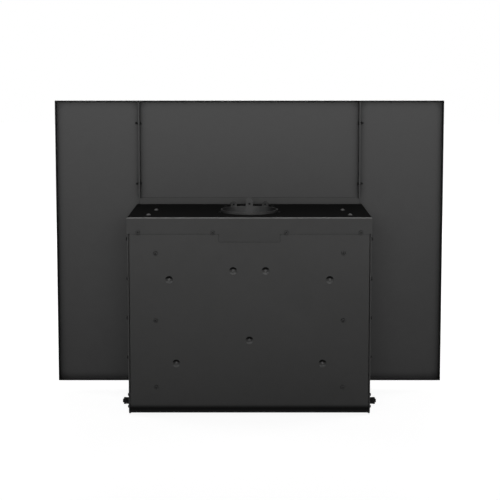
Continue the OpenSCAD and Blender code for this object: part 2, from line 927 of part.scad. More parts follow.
module cover_lug() {
    lug_y0 = rear_y - 180;
    lug_y1 = rear_y - 35;
    lug_x = firebox_half_w - 15;
    difference() {
        union() {
            block(lug_x, lug_x + 3, lug_y0, lug_y1, firebox_top + weld_gap, cover_in_z);
            block(lug_x, lug_x + 29, lug_y0, lug_y1, cover_in_z - 3, cover_in_z);
        }
        for (p = top_screw_at)
            translate([p[0], p[1], cover_in_z - 10]) cylinder(r = small_shank_r, h = 12);
    }
}

module firebox_shell() {
    plate_z0 = floor_in_z + weld_gap;
    plate_z1 = roof_in_z - weld_gap;
    color("dimgray") {
        difference() {
            block(-firebox_half_w, firebox_half_w, front_in_y, firebox_rear_y,
                firebox_z, floor_in_z);
            air_slot(firebox_z - 1, floor_in_z + 1);
        }
        both_sides() {
            block(firebox_in_x, firebox_half_w, front_in_y, firebox_rear_y, plate_z0, plate_z1);
            cover_lug();
        }
        block(-firebox_in_x + weld_gap, firebox_in_x - weld_gap, firebox_rear_y - firebox_t,
            firebox_rear_y, plate_z0, plate_z1);
        difference() {
            block(-firebox_half_w, firebox_half_w, front_in_y, firebox_rear_y,
                roof_in_z, firebox_top);
            translate([0, flue_y, roof_in_z - 1])
                cylinder(r = flue_r + roof_hole_gap, h = firebox_t + 2);
            flange_points() translate([0, 0, roof_in_z - 1])
                cylinder(r = 3 + running_gap, h = firebox_t + 2);
        }
    }
}

module front_plate() {
    color("dimgray")
        slab_y(front_y, front_in_y)
            difference() {
                translate([-casing_in_x, grille_z1 + fit_gap])
                    square([2 * casing_in_x, cheek_z - grille_z1 - fit_gap]);
                round_rect(-mouth_half_w, mouth_half_w, door_mid_z - mouth_h / 2,
                    door_mid_z + mouth_h / 2, 14);
                translate([-louvre_half_w, louvre_z0])
                    square([2 * louvre_half_w, louvre_z1 - louvre_z0]);
            }
}

module face_flange() {
    color("dimgray")
        difference() {
            slab_y(flange_y, face_y)
                difference() {
                    round_rect(-flange_out_x, flange_out_x, surround_lift, flange_top_z, 6);
                    translate([-flange_in_x, surround_lift - 1])
                        square([2 * flange_in_x, hood_z + moving_gap - surround_lift + 1]);
                }
            for (s = [-1, 1], z = surround_screw_z)
                translate([s * surround_screw_x, 0, z])
                    rod_along_y(small_shank_r + hole_gap, flange_y - 1, face_y + 1);
        }
}

module cheek() {
    difference() {
        intersection() {
            slab_z(0, cheek_z)
                translate([casing_in_x, 0]) {
                    translate([0, front_y + 2]) square([cheek_t, front_reach - 2 + flange_y]);
                    translate([0, front_y]) square([cheek_t / 2, 4]);
                    translate([cheek_t / 2, front_y + 2]) circle(2);
                }
            slab_x(casing_in_x - 1, casing_half_w + 1)
                translate([front_y - 1, 0]) square([front_reach, cheek_z]);
        }
        for (i = [0:5])
            translate([0, flange_y - 45 - 20 * i, 0])
                slab_x(casing_in_x + cheek_t - 1.5, casing_half_w + 1)
                    round_rect(-3, 3, firebox_z + vent_low, cheek_z - vent_high, 2.9);
    }
}

module cheek_left() {
    color("dimgray") mirror([1, 0, 0]) cheek();
}

module cheek_right() {
    color("dimgray")
        difference() {
            cheek();
            translate([0, inlet_y, inlet_z])
                rod_along_x(inlet_r, casing_in_x - 1, casing_half_w + 1);
        }
}

module front_hood() {
    nose = 6;
    color("dimgray")
        intersection() {
            slab_x(-casing_half_w, casing_half_w)
                translate([front_y - nose, cheek_z]) {
                    translate([hood_t / 2, 0])
                        square([front_reach + nose + flange_y - hood_t / 2, hood_t]);
                    translate([hood_t / 2, hood_t / 2]) circle(hood_t / 2);
                }
            slab_z(cheek_z - 1, hood_z + 1)
                mirror([0, 1]) round_rect(-casing_half_w, casing_half_w,
                    -front_reach, front_reach + nose, 8);
        }
}

// Warm air outlet over the door, with slanting fins
module outlet_louvre() {
    half = louvre_half_w - moving_gap;
    low = louvre_z0 + moving_gap;
    high = louvre_z1 - moving_gap;
    fins = 3;
    rise = (high - low) / fins;
    color("dimgray") {
        difference() {
            slab_y(front_y - 2.5, front_y) round_rect(-half - 7, half + 7, low - 4, high + 5, 5);
            slab_y(front_y - 4, front_y + 1)
                translate([-half + 3, low + 2]) square([2 * half - 6, high - low - 4]);
        }
        both_sides() block(half - 3, half, front_y - 1, front_in_y + 14, low, high);
        for (i = [0:fins - 1])
            slab_x(-half + 1, half - 1)
                translate([front_y, low + rise * (i + 0.5)]) rotate(28)
                    round_rect(-4, 13, -1, 1, 0.9);
        for (x = [-half / 3, half / 3])
            block(x - 1.5, x + 1.5, front_y, front_in_y + 8, low, high);
    }
}

module ash_lip() {
    t = 6;
    reach = ash_lip_reach;
    half = casing_in_x - 18;
    arc_r = 1100;
    y0 = front_y - reach;
    color("dimgray")
        difference() {
            union() {
                slab_z(ash_lip_z, ash_lip_z + t) intersection() {
                    translate([-half, y0]) square([2 * half, reach]);
                    translate([0, y0 + arc_r]) circle(arc_r, $fn = 360);
                    round_rect(-half, half, y0, front_y + 30, 22);
                }
                slab_z(ash_lip_z - 6, ash_lip_z + t + 4) difference() {
                    intersection() {
                        translate([-half, y0]) square([2 * half, reach]);
                        translate([0, y0 + arc_r]) circle(arc_r, $fn = 360);
                        round_rect(-half, half, y0, front_y + 30, 22);
                    }
                    intersection() {
                        translate([0, y0 + 6 + arc_r]) circle(arc_r, $fn = 360);
                        round_rect(-half + 6, half - 6, y0 + 6, front_y + 30, 17);
                    }
                }
            }
            both_sides() translate([half * 0.7, 0, ash_lip_z + t / 2])
                rod_along_y(2.5, front_y - 8, front_y + 1);
        }
}

module base_pan() {
    color("gray")
        difference() {
            union() {
                block(-casing_in_x, casing_in_x, front_in_y, 60, 0, base_t);
                both_sides() {
                    slab_x(support_x, support_x + support_t) polygon([
                        [front_in_y, base_t - eps], [0, base_t - eps],
                        [0, jacket_floor_z + rear_t], [firebox_rear_y - 8, jacket_floor_z + rear_t],
                        [firebox_rear_y - 8, firebox_z], [front_in_y, firebox_z]
                    ]);
                    block(casing_in_x - 1.5, casing_in_x, front_in_y, flange_y - 4, 0, 18);
                }
            }
            both_sides() for (y = [120, 180])
                translate([0, y, 52]) rod_along_x(14, support_x - 1, support_x + support_t + 1);
        }
}

// Door
module door_prism(half_w, half_h, y0, y1, bevel) {
    intersection() {
        slab_y(y0, y1) translate([0, door_mid_z])
            round_rect(-half_w, half_w, -half_h, half_h, 10);
        slab_x(-half_w - 1, half_w + 1) translate([0, door_mid_z]) polygon([
            [y0, -half_h + bevel], [y0, half_h - bevel], [y0 + bevel, half_h],
            [y1, half_h], [y1, -half_h], [y0 + bevel, -half_h]
        ]);
        slab_z(door_mid_z - half_h - 1, door_mid_z + half_h + 1) polygon([
            [-half_w + bevel, y0], [half_w - bevel, y0], [half_w, y0 + bevel],
            [half_w, y1], [-half_w, y1], [-half_w, y0 + bevel]
        ]);
    }
}

// The opening for the window, flared towards the room
module window_cut() {
    flare = 9;
    hw = window_half_w;
    hh = window_h / 2;
    y0 = door_face_y - eps;
    y1 = door_face_y + door_skin + 1;
    intersection() {
        slab_x(-hw - 2 * flare, hw + 2 * flare) translate([0, door_mid_z]) polygon([
            [y0, -hh - flare], [y0, hh + flare], [y0 + flare * 0.6, hh], [y1, hh],
            [y1, -hh], [y0 + flare * 0.6, -hh]
        ]);
        slab_z(door_mid_z - hh - flare - 1, door_mid_z + hh + flare + 1) polygon([
            [-hw - flare, y0], [hw + flare, y0], [hw, y0 + flare * 0.6], [hw, y1],
            [-hw, y1], [-hw, y0 + flare * 0.6]
        ]);
        slab_y(y0 - 1, y1 + 1) translate([0, door_mid_z])
            round_rect(-hw - flare, hw + flare, -hh - flare, hh + flare, 16);
    }
}

module rope_path(r) {
    c = rope_corner_r;
    translate([0, 0, door_mid_z]) {
        for (s = [-1, 1]) {
            translate([-rope_half_w + c, rope_y, s * rope_half_h])
                rod_along_x(r, 0, 2 * (rope_half_w - c));
            translate([s * rope_half_w, rope_y, -rope_half_h + c])
                cylinder(r = r, h = 2 * (rope_half_h - c));
        }
        for (q = [0:3]) {
            sx = (q == 0 || q == 3) ? 1 : -1;
            sz = (q < 2) ? 1 : -1;
            translate([sx * (rope_half_w - c), rope_y, sz * (rope_half_h - c)])
                intersection() {
                    rotate([90, 0, 0]) rotate_extrude() translate([c, 0]) circle(r);
                    translate([sx > 0 ? 0 : -40, -20, sz > 0 ? 0 : -40]) cube([40, 40, 40]);
                }
        }
    }
}

module door_knuckles() {
    for (z = knuckle_z) {
        translate([hinge_x, hinge_y, z]) cylinder(r = knuckle_r, h = knuckle_h);
        block(hinge_x, -door_half_w + 2, hinge_y - knuckle_r + 1, hinge_y + 3,
            z, z + knuckle_h);
    }
}

module door_frame() {
    groove = rope_r + 0.4;
    color("dimgray")
        difference() {
            union() {
                door_prism(door_half_w, door_h / 2, door_face_y + 5, door_back_y, 5);
                door_prism(door_half_w - 14, door_h / 2 - 14, door_face_y, door_back_y, 3);
                door_knuckles();
                translate([latch_x, 0, latch_z]) rod_along_y(14, door_face_y, door_back_y);
            }
            window_cut();
            slab_y(door_face_y + door_skin, glass_y1) translate([0, door_mid_z])
                round_rect(-glass_half_w - 1, glass_half_w + 1, -glass_half_h - 1,
                    glass_half_h + 1, 4);
            slab_y(glass_y1 - eps, door_back_y + 1) translate([0, door_mid_z])
                round_rect(-ledge_half_w, ledge_half_w, -ledge_half_h, ledge_half_h, 6);
            slab_y(rope_y - groove, door_back_y + 1) translate([0, door_mid_z]) difference() {
                round_rect(-rope_half_w - groove, rope_half_w + groove,
                    -rope_half_h - groove, rope_half_h + groove, rope_corner_r + groove);
                round_rect(-rope_half_w + groove, rope_half_w - groove,
                    -rope_half_h + groove, rope_half_h - groove, rope_corner_r - groove);
            }
            for (z = knuckle_z)
                translate([hinge_x, hinge_y, z - 1])
                    cylinder(r = hinge_pin_r + running_gap, h = knuckle_h + 2);
            translate([latch_x, 0, latch_z])
                rod_along_y(latch_r, door_face_y - 1, door_back_y + 1);
            block(latch_x - 9, door_half_w + 20, tongue_y0 - 1.2, door_back_y + 1,
                latch_z - 10, latch_z + tongue_l + 6);
            for (p = clip_points)
                translate([p[0], 0, door_mid_z + p[1]])
                    rod_along_y(1.9, glass_y1 - 4, glass_y1 + 1);
        }
}

module door_glass() {
    color([0.15, 0.13, 0.12, 0.5])
        slab_y(glass_y0, glass_y1) translate([0, door_mid_z])
            round_rect(-glass_half_w, glass_half_w, -glass_half_h, glass_half_h, 3);
}

module glass_gasket() {
    color("black")
        slab_y(door_face_y + door_skin, glass_y0) translate([0, door_mid_z]) difference() {
            round_rect(-glass_half_w, glass_half_w, -glass_half_h, glass_half_h, 3);
            round_rect(-glass_half_w + 9, glass_half_w - 9, -glass_half_h + 9,
                glass_half_h - 9, 2);
        }
}

module glass_retainers() {
    color("silver")
        for (p = clip_points) {
            upright = abs(p[0]) > glass_half_w;
            dx = upright ? 0 : 14;
            dz = upright ? 14 : 0;
            inward = upright ? [-sign(p[0]) * 4, 0] : [0, -sign(p[1]) * 3];
            translate([p[0] + inward[0], 0, door_mid_z + p[1] + inward[1]])
                slab_y(glass_y1, glass_y1 + 2)
                    round_rect(-8.5 - dx / 2, 8.5 + dx / 2, -7.5 - dz / 2, 7.5 + dz / 2, 2);
            translate([p[0], glass_y1 + 2, door_mid_z + p[1]]) to_rear() {
                dome_head(3.6, 2);
                translate([0, 0, -5]) cylinder(r = 1.8, h = 5.5);
            }
        }
}

module rope_gasket() {
    color("gray") rope_path(rope_r);
}

module hinge_pins() {
    color("silver")
        for (z = knuckle_z)
            translate([hinge_x, hinge_y, z - bracket_arm_h - 2]) {
                cylinder(r = hinge_pin_r, h = knuckle_h + 2 * bracket_arm_h + 4);
                translate([0, 0, knuckle_h + 2 * bracket_arm_h + 3]) dome_head(7, 3);
            }
}

module hinge_brackets() {
    color("dimgray")
        for (z = knuckle_z) difference() {
            union() {
                block(hinge_x - 22, hinge_x + 9, door_back_y, front_y,
                    z - bracket_arm_h - 1.5, z + knuckle_h + bracket_arm_h + 1.5);
                for (az = [z - bracket_arm_h - 1, z + knuckle_h + 1]) {
                    block(hinge_x - knuckle_r, hinge_x + knuckle_r - 1, hinge_y,
                        front_y, az, az + bracket_arm_h);
                    translate([hinge_x, hinge_y, az])
                        cylinder(r = knuckle_r, h = bracket_arm_h);
                }
            }
            translate([hinge_x, hinge_y, z - 30])
                cylinder(r = hinge_pin_r + 0.02, h = knuckle_h + 60);
            block(hinge_x - knuckle_r - 2, hinge_x + knuckle_r + 2, hinge_y - 20,
                hinge_y + knuckle_r + 3, z - 1, z + knuckle_h + 1);
        }
}

module latch_cam() {
    color("silver")
        translate([latch_x, 0, latch_z]) {
            rod_along_y(latch_r - running_gap, hub_y0 + 2, tongue_y1);
            slab_y(tongue_y0, tongue_y1) {
                circle(9);
                translate([-tongue_w / 2, 0]) square([tongue_w, tongue_l - 5]);
                round_rect(-tongue_w / 2, tongue_w / 2, tongue_l - 15, tongue_l, 4);
            }
        }
}

module latch_strike() {
    x0 = latch_x + tongue_l + 3;
    lip_y = tongue_y0 - 1.5;
    color("silver")
        difference() {
            translate([0, 0, latch_z - 18]) linear_extrude(36) polygon([
                [x0, front_y], [x0, lip_y], [door_half_w + 6, lip_y],
                [door_half_w + 6, lip_y - 2], [door_half_w + 9, lip_y - 5],
                [x0 + 6, lip_y - 5], [x0 + 6, front_y - 4], [x0 + 20, front_y - 4],
                [x0 + 20, front_y]
            ]);
            for (z = [latch_z - 9, latch_z + 9])
                translate([x0 + 13, 0, z]) rod_along_y(2.6, front_y - 6, front_y + 1);
        }
}

// Handle: hub, cranked arm and a grip that points along +X while the latch is free
module door_handle() {
    grip_x0 = latch_x + 22;
    grip_y = hub_y0 - 14;
    color("silver") {
        difference() {
            translate([latch_x, 0, latch_z]) {
                rod_along_y(13, hub_y0, hub_y1);
                rod_along_y(11, hub_y0 - 2, hub_y1);
            }
            translate([latch_x, 0, latch_z])
                rod_along_y(latch_r - running_gap, hub_y0 + 2, hub_y1 + 1);
        }
        slab_z(latch_z - 6, latch_z + 6) polygon([
            [latch_x - 6, hub_y0 - 1.9], [latch_x - 6, hub_y0 - 6], [latch_x + 2, hub_y0 - 9],
            [grip_x0 - 2, grip_y - 5], [grip_x0 + 4, grip_y - 5], [grip_x0 + 4, grip_y + 5],
            [grip_x0, grip_y + 5], [latch_x + 10, hub_y0 - 1.9]
        ]);
        translate([0, grip_y, latch_z]) {
            rod_along_x(grip_r + 1.5, grip_x0, grip_x0 + 5);
            rod_along_x(grip_r, grip_x0, grip_x0 + grip_l);
            translate([grip_x0 + grip_l, 0, 0]) sphere(grip_r);
            for (i = [1:9])
                rod_along_x(grip_r + 0.8, grip_x0 + i * grip_l / 10 - 2,
                    grip_x0 + i * grip_l / 10 + 2);
        }
    }
}

// Firebricks, baffle and air tubes
module brick_floor() {
    columns = 4;
    rows = 3;
    x0 = -firebox_in_x + 1;
    y0 = front_in_y + 2;
    w = (2 * (firebox_in_x - 1) - (columns - 1) * brick_gap) / columns;
    d = (firebox_rear_y - firebox_t - 2 - y0 - (rows - 1) * brick_gap) / rows;
    color("tan")
        difference() {
            for (i = [0:columns - 1], j = [0:rows - 1])
                translate([x0 + i * (w + brick_gap), y0 + j * (d + brick_gap), floor_in_z])
                    cube([w, d, brick_t]);
            air_slot(floor_in_z - 1, brick_floor_z + 1);
        }
}

module brick_sides() {
    count = 4;
    y0 = front_in_y + 3;
    y1 = firebox_rear_y - firebox_t - brick_t - 2;
    d = (y1 - y0 - (count - 1) * brick_gap) / count;
    color("tan")
        both_sides() for (j = [0:count - 1])
            translate([firebox_in_x - brick_t, y0 + j * (d + brick_gap), brick_floor_z])
                cube([brick_t, d, brick_wall_h - 0.3]);
}

module brick_rear() {
    count = 4;
    x0 = -firebox_in_x + 1;
    w = (-2 * x0 - (count - 1) * brick_gap) / count;
    color("tan")
        for (i = [0:count - 1])
            translate([x0 + i * (w + brick_gap), firebox_rear_y - firebox_t - brick_t,
                brick_floor_z]) cube([w, brick_t, brick_wall_h - 0.3]);
}

function tube_y(i) = tube_front_y + i * (tube_back_y - tube_front_y) / (tube_count - 1);

module air_manifold() {
    y0 = tube_front_y - 30;
    y1 = firebox_rear_y - firebox_t - 12;
    color("gray")
        both_sides() difference() {
            block(manifold_x, firebox_in_x, y0, y1, brick_top_z, brick_top_z + 27);
            block(manifold_x + 3, firebox_in_x - 3, y0 + 3, y1 - 3, brick_top_z + 3,
                brick_top_z + 30 - 6);
            for (i = [0:tube_count - 1])
                translate([0, tube_y(i), tube_z])
                    rod_along_x(tube_r + running_gap, manifold_x - 1, manifold_x + 5);
        }
}

module air_tubes() {
    jets = 11;
    end = manifold_x + 3;
    color("silver")
        for (i = [0:tube_count - 1])
            translate([0, tube_y(i), tube_z]) difference() {
                rod_along_x(tube_r, -end, end);
                rod_along_x(tube_r - tube_t, -end - 1, end + 1);
                for (k = [0:jets - 1])
                    translate([(k - (jets - 1) / 2) * 40, 0, 0]) rotate([35, 0, 0])
                        rod_along_y(2.5, -tube_r - 2, 0);
            }
}

module baffle_boards() {
    y1 = firebox_rear_y - firebox_t - 13;
    color("lightgray")
        both_sides() block(0.5, manifold_x - 1, baffle_front_y, y1, baffle_z,
            baffle_z + baffle_t);
}

module baffle_blanket() {
    y1 = firebox_rear_y - firebox_t - 13;
    color("white")
        slab_z(baffle_z + baffle_t, baffle_z + baffle_t + blanket_t)
            round_rect(-manifold_x + 4, manifold_x - 4, baffle_front_y + 10, y1, 12);
}

module log_retainer() {
    y0 = front_in_y + 6;
    half = mouth_half_w + 10;
    color("dimgray") {
        slab_y(y0, y0 + 7) translate([0, brick_floor_z]) difference() {
            union() {
                round_rect(-half, half, 0, 20, 4);
                translate([-half, 0]) square([2 * half, 8]);
            }
            for (i = [-6:6])
                translate([i * 30, 11]) round_rect(-9, 9, -4, 4, 3.9);
        }
        both_sides() block(half - 26, half - 18, y0, y0 + 26, brick_floor_z, brick_floor_z + 8);
    }
}

// Air control
module air_box() {
    t = 2;
    w = air_box_half_w;
    color("gray")
        translate([rod_x, 0, 0]) {
            difference() {
                block(-w, w, air_box_y0, air_box_y1, air_box_z, firebox_z);
                block(-w + t, w - t, air_box_y0 + t, air_box_y1 - t, air_box_z + t,
                    firebox_z + 1);
                block(-w + 12, w - 12, damper_y0 + 8, damper_y1 - 8, air_box_z - 1,
                    air_box_z + t + 1);
            }
            for (s = [-1, 1])
                scale([s, 1, 1]) {
                    block(w - 4, w, air_box_y0 + 4, air_box_y1, air_box_z - 5, air_box_z + 0.5);
                    block(w - 9, w, air_box_y0 + 4, air_box_y1, air_box_z - 5,
                        damper_z1 - damper_t - moving_gap);
                }
        }
}

module air_damper() {
    w = air_box_half_w - 4 - moving_gap;
    color("silver")
        translate([rod_x, 0, 0]) {
            difference() {
                block(-w, w, damper_y0, damper_y1, damper_z1 - damper_t, damper_z1);
                block(-w - 1, -w + 8, damper_y0 - 1, damper_y0 + 6, damper_z1 - 5, damper_z1 + 1);
            }
            block(-8, 8, damper_y1 - damper_t, damper_y1, rod_z - 10, damper_z1 - 1);
        }
}

module air_rod() {
    knob_y = front_y - 24;
    color("silver")
        translate([rod_x, 0, rod_z]) {
            rod_along_y(rod_r, knob_y + 2, damper_y1 - damper_t);
            translate([0, knob_y - 20, 0]) to_rear() rotate_extrude() polygon([
                [0, 0], [8, 0], [10.5, 2.5], [11, 6], [9.5, 11], [7, 15], [6.5, 22], [0, 22]
            ]);
        }
}

// Blower: two wheels on one shaft, each in its own scroll
function scroll_radius(a) = scroll_r0 + scroll_growth * a / scroll_turn;

module scroll_outline(grow) {
    steps = 27;
    lip = scroll_radius(scroll_turn) + grow;
    polygon(concat(
        [for (i = [0:steps]) let (a = i * scroll_turn / steps, r = scroll_radius(a) + grow)
            [r * cos(a), r * sin(a)]],
        [[outlet_y - blower_y, -lip], [outlet_y - blower_y, -12 + grow],
            [scroll_radius(0) + grow, -12 + grow]]
    ));
}

module scroll_case() {
    x0 = wheel_x0 - scroll_end_gap - scroll_t;
    x1 = wheel_x0 + wheel_w + scroll_end_gap + scroll_t;
    translate([0, blower_y, blower_z]) difference() {
        slab_x(x0, x1) scroll_outline(scroll_t);
        slab_x(x0 + scroll_t, x1 - scroll_t) {
            scroll_outline(0);
            translate([scroll_r0, -scroll_radius(scroll_turn)])
                square([outlet_y - blower_y, scroll_radius(scroll_turn) - 12]);
        }
        rod_along_x(wheel_r - 5, x0 - 1, x1 + 1);
    }
}

module blower_housing() {
    color("gray") {
        both_sides() scroll_case();
        both_sides() block(motor_half_l - 1, wheel_x0 - scroll_end_gap - scroll_t,
            blower_y - 12, blower_y + 12, base_t, base_t + 3);
    }
}

module blower_motor() {
    color("dimgray")
        translate([0, blower_y, blower_z]) difference() {
            union() {
                rod_along_x(motor_r, -motor_half_l + 12, motor_half_l - 12);
                rod_along_x(motor_r - 5, -motor_half_l + 3, motor_half_l - 3);
                rod_along_x(10, -motor_half_l, motor_half_l);
                block(-22, 22, -20, 20, base_t - blower_z, -motor_r + 6);
                for (a = [0:30:330])
                    rotate([a, 0, 0]) block(-motor_half_l + 8, motor_half_l - 8, -1.5, 1.5,
                        motor_r - 6, motor_r + 1.5);
            }
            rod_along_x(shaft_r + running_gap, -motor_half_l - 1, motor_half_l + 1);
        }
}

module motor_shaft() {
    end = wheel_x0 + wheel_w + 4;
    color("silver") translate([0, blower_y, blower_z]) rod_along_x(shaft_r, -end, end);
}

// Forward-curved blade, drawn as a slice of a ring
module blade_outline() {
    curve_r = 9;
    intersection() {
        translate([wheel_r - 5, -curve_r + 1]) difference() {
            circle(curve_r);
            circle(curve_r - 1.1);
        }
        translate([wheel_r - 7.5, -3]) square([7, 8]);
    }
}

module wheel() {
    difference() {
        union() {
            slab_x(0, 2) circle(wheel_r);
            slab_x(0, 16) circle(9);
            slab_x(wheel_w - 2, wheel_w) difference() {
                circle(wheel_r);
                circle(wheel_r - 7);
            }
            slab_x(1, wheel_w - 1)
                for (k = [0:blade_count - 1])
                    rotate(k * 360 / blade_count) blade_outline();
        }
        rod_along_x(shaft_r, -1, 20);
    }
}

module impellers() {
    color("silver")
        both_sides() translate([wheel_x0, blower_y, blower_z]) wheel();
}

module blower_grille() {
    count = floor(slots_half_w / grille_pitch);
    mid = (grille_z0 + grille_z1) / 2;
    color("dimgray")
        slab_y(front_y, front_y + grille_t) difference() {
            translate([-grille_half_w, grille_z0])
                square([2 * grille_half_w, grille_z1 - grille_z0]);
            for (i = [-count:count])
                translate([i * grille_pitch, mid])
                    round_rect(-grille_slot_w / 2, grille_slot_w / 2, -slot_half_h, slot_half_h,
                        grille_slot_w / 2 - eps);
            translate([rod_x, rod_z]) circle(rod_r + moving_gap);
            translate([knob_x, rod_z]) circle(knob_shaft_r + running_gap);
        }
}

module blower_controls() {
    color("black") {
        translate([knob_x, 0, rod_z]) difference() {
            block(-control_half_w, control_half_w, front_y + grille_t,
                front_y + grille_t + control_l, -control_half_h, control_half_h);
            rod_along_y(knob_shaft_r + running_gap, front_y, front_y + grille_t + control_l - 6);
        }
        translate([switch_x, 0, firebox_z]) {
            translate([0, 0, -switch_h]) cylinder(r = switch_r, h = switch_h);
            block(-switch_r - 8, switch_r + 8, 3 - switch_r, switch_r - 3, -3, 0);
            for (x = [-5, 5])
                block(x - 3, x + 3, -1, 1, -switch_h - 11, 1 - switch_h);
        }
    }
}

module speed_knob() {
    color("black")
        translate([knob_x, 0, rod_z]) {
            rod_along_y(3, front_y - 8, front_y + grille_t + 16);
            difference() {
                rod_along_y(knob_r, front_y - 20, front_y - moving_gap);
                for (a = [0:30:330])
                    rotate([0, a, 0]) translate([0, 0, knob_r + 1.2])
                        rod_along_y(2.4, front_y - 30, front_y - 5);
                translate([0, 0, knob_r - 6]) block(-0.8, 0.8, front_y - 21, front_y - 19, 0, 5);
            }
        }
}

module power_inlet() {
    color("black")
        translate([0, inlet_y, inlet_z]) difference() {
            union() {
                rod_along_x(inlet_r - hole_gap, casing_in_x - 5, casing_half_w + 2);
                rod_along_x(inlet_r + 3, casing_half_w, casing_half_w + 4);
                rod_along_x(inlet_r + 2, casing_in_x - 6, casing_in_x);
            }
            rod_along_x(inlet_r - 3, casing_in_x - 10, casing_half_w + 10);
        }
}

surround_left();
surround_right();
surround_top();
seam_screws();
surround_screws();
rear_panel();
top_cover();
side_panel_left();
side_panel_right();
flue_collar();
collar_bolts();
top_screws();
cover_screws();
rear_panel_screws();
dimple_screws();
side_screws();
leveller_clamp_bolts();
leveller_brackets();
leveller_left();
leveller_right();
spacer_studs();
rear_rails();
firebox_shell();
front_plate();
face_flange();
cheek_left();
cheek_right();
front_hood();
outlet_louvre();
ash_lip();
base_pan();
door_frame();
door_glass();
glass_gasket();
glass_retainers();
rope_gasket();
hinge_pins();
hinge_brackets();
door_handle();
latch_cam();
latch_strike();
brick_floor();
brick_sides();
brick_rear();
baffle_boards();
baffle_blanket();
air_tubes();
air_manifold();
log_retainer();
air_box();
air_damper();
air_rod();
blower_housing();
blower_motor();
motor_shaft();
impellers();
blower_grille();
blower_controls();
speed_knob();
power_inlet();
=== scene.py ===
# Wood fireplace insert: its looks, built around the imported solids.
import math
import bpy
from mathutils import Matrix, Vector


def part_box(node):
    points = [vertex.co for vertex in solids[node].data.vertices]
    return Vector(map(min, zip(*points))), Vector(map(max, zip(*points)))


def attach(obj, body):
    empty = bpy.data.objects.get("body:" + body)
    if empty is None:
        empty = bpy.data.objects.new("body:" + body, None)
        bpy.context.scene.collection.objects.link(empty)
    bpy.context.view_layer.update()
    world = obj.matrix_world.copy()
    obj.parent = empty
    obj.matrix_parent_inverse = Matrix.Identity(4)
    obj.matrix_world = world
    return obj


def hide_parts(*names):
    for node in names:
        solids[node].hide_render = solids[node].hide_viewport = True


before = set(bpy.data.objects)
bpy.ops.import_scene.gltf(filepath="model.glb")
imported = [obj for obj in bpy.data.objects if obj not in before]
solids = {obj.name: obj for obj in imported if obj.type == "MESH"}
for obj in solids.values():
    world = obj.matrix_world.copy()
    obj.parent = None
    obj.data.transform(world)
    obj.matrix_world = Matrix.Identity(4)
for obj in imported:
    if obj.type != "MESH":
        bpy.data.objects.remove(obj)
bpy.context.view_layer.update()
print("frame loaded:", len(solids), "solids")


# small helpers for node trees
def wire(tree, outSocket, inSocket):
    tree.links.new(outSocket, inSocket)


def node(tree, kind, **settings):
    made = tree.nodes.new(kind)
    for key, value in settings.items():
        setattr(made, key, value)
    return made


def feed(tree, value, socket):  # a number is set on the socket, anything else is wired to it
    if isinstance(value, (int, float)):
        socket.default_value = value
    else:
        wire(tree, value, socket)


def noise(tree, vector, scale, detail=3.0, roughness=0.55, distortion=0.0):
    made = node(tree, "ShaderNodeTexNoise")
    made.inputs["Detail"].default_value = detail
    made.inputs["Roughness"].default_value = roughness
    made.inputs["Distortion"].default_value = distortion
    wire(tree, vector, made.inputs["Vector"])
    feed(tree, scale, made.inputs["Scale"])
    return made.outputs["Fac"]


def holes(tree, vector, scale):  # distance from the middles of scattered pits
    made = node(tree, "ShaderNodeTexVoronoi", feature="F1")
    wire(tree, vector, made.inputs["Vector"])
    made.inputs["Scale"].default_value = scale
    return made.outputs["Distance"]


def spread(tree, value, low, high, toLow=0.0, toHigh=1.0, smooth=True):
    made = node(tree, "ShaderNodeMapRange")
    made.interpolation_type = "SMOOTHSTEP" if smooth else "LINEAR"
    made.inputs["From Min"].default_value = low
    made.inputs["From Max"].default_value = high
    made.inputs["To Min"].default_value = toLow
    made.inputs["To Max"].default_value = toHigh
    wire(tree, value, made.inputs["Value"])
    return made.outputs["Result"]


def sums(tree, operation, first, second=None, clamp=False):
    made = node(tree, "ShaderNodeMath", operation=operation, use_clamp=clamp)
    feed(tree, first, made.inputs[0])
    if second is not None:
        feed(tree, second, made.inputs[1])
    return made.outputs["Value"]


def shares(tree, *parts):  # adds the values, each in its share
    total = None
    for value, share in parts:
        part = sums(tree, "MULTIPLY", value, share)
        total = part if total is None else sums(tree, "ADD", total, part)
    return total


def axes(tree, vector):
    made = node(tree, "ShaderNodeSeparateXYZ")
    wire(tree, vector, made.inputs["Vector"])
    return made.outputs


def facing(tree):  # which way the face points
    return axes(tree, node(tree, "ShaderNodeNewGeometry").outputs["Normal"])


def grey(level):
    return (level, level, level)


def blendColours(tree, factor, first, second):
    made = node(tree, "ShaderNodeMix", data_type="RGBA", blend_type="MIX")
    wire(tree, factor, made.inputs[0])
    for index, value in ((6, first), (7, second)):
        if isinstance(value, tuple):
            made.inputs[index].default_value = (*value[:3], 1.0)
        else:
            wire(tree, value, made.inputs[index])
    return made.outputs[2]


def effect(name, takes, gives):
    tree = bpy.data.node_groups.new(name, "ShaderNodeTree")
    for label, value in takes.items():
        kind = "NodeSocketVector" if value is None else "NodeSocketFloat"
        socket = tree.interface.new_socket(name=label, in_out="INPUT", socket_type=kind)
        if value is not None:
            socket.default_value = value
    for label in gives:
        kind = "NodeSocketVector" if label == "Normal" else "NodeSocketFloat"
        tree.interface.new_socket(name=label, in_out="OUTPUT", socket_type=kind)
    return tree, node(tree, "NodeGroupInput").outputs, node(tree, "NodeGroupOutput").inputs


def useEffect(tree, group, vector, values):
    made = node(tree, "ShaderNodeGroup", node_tree=group)
    for label, value in values.items():
        made.inputs[label].default_value = value
    if vector is not None:
        wire(tree, vector, made.inputs["Vector"])
    return made.outputs


def newMaterial(name):
    material = bpy.data.materials.new(name)
    material.use_nodes = True
    tree = material.node_tree
    return material, tree, tree.nodes["Principled BSDF"]


def objectPlace(tree):
    return node(tree, "ShaderNodeTexCoord").outputs["Object"]


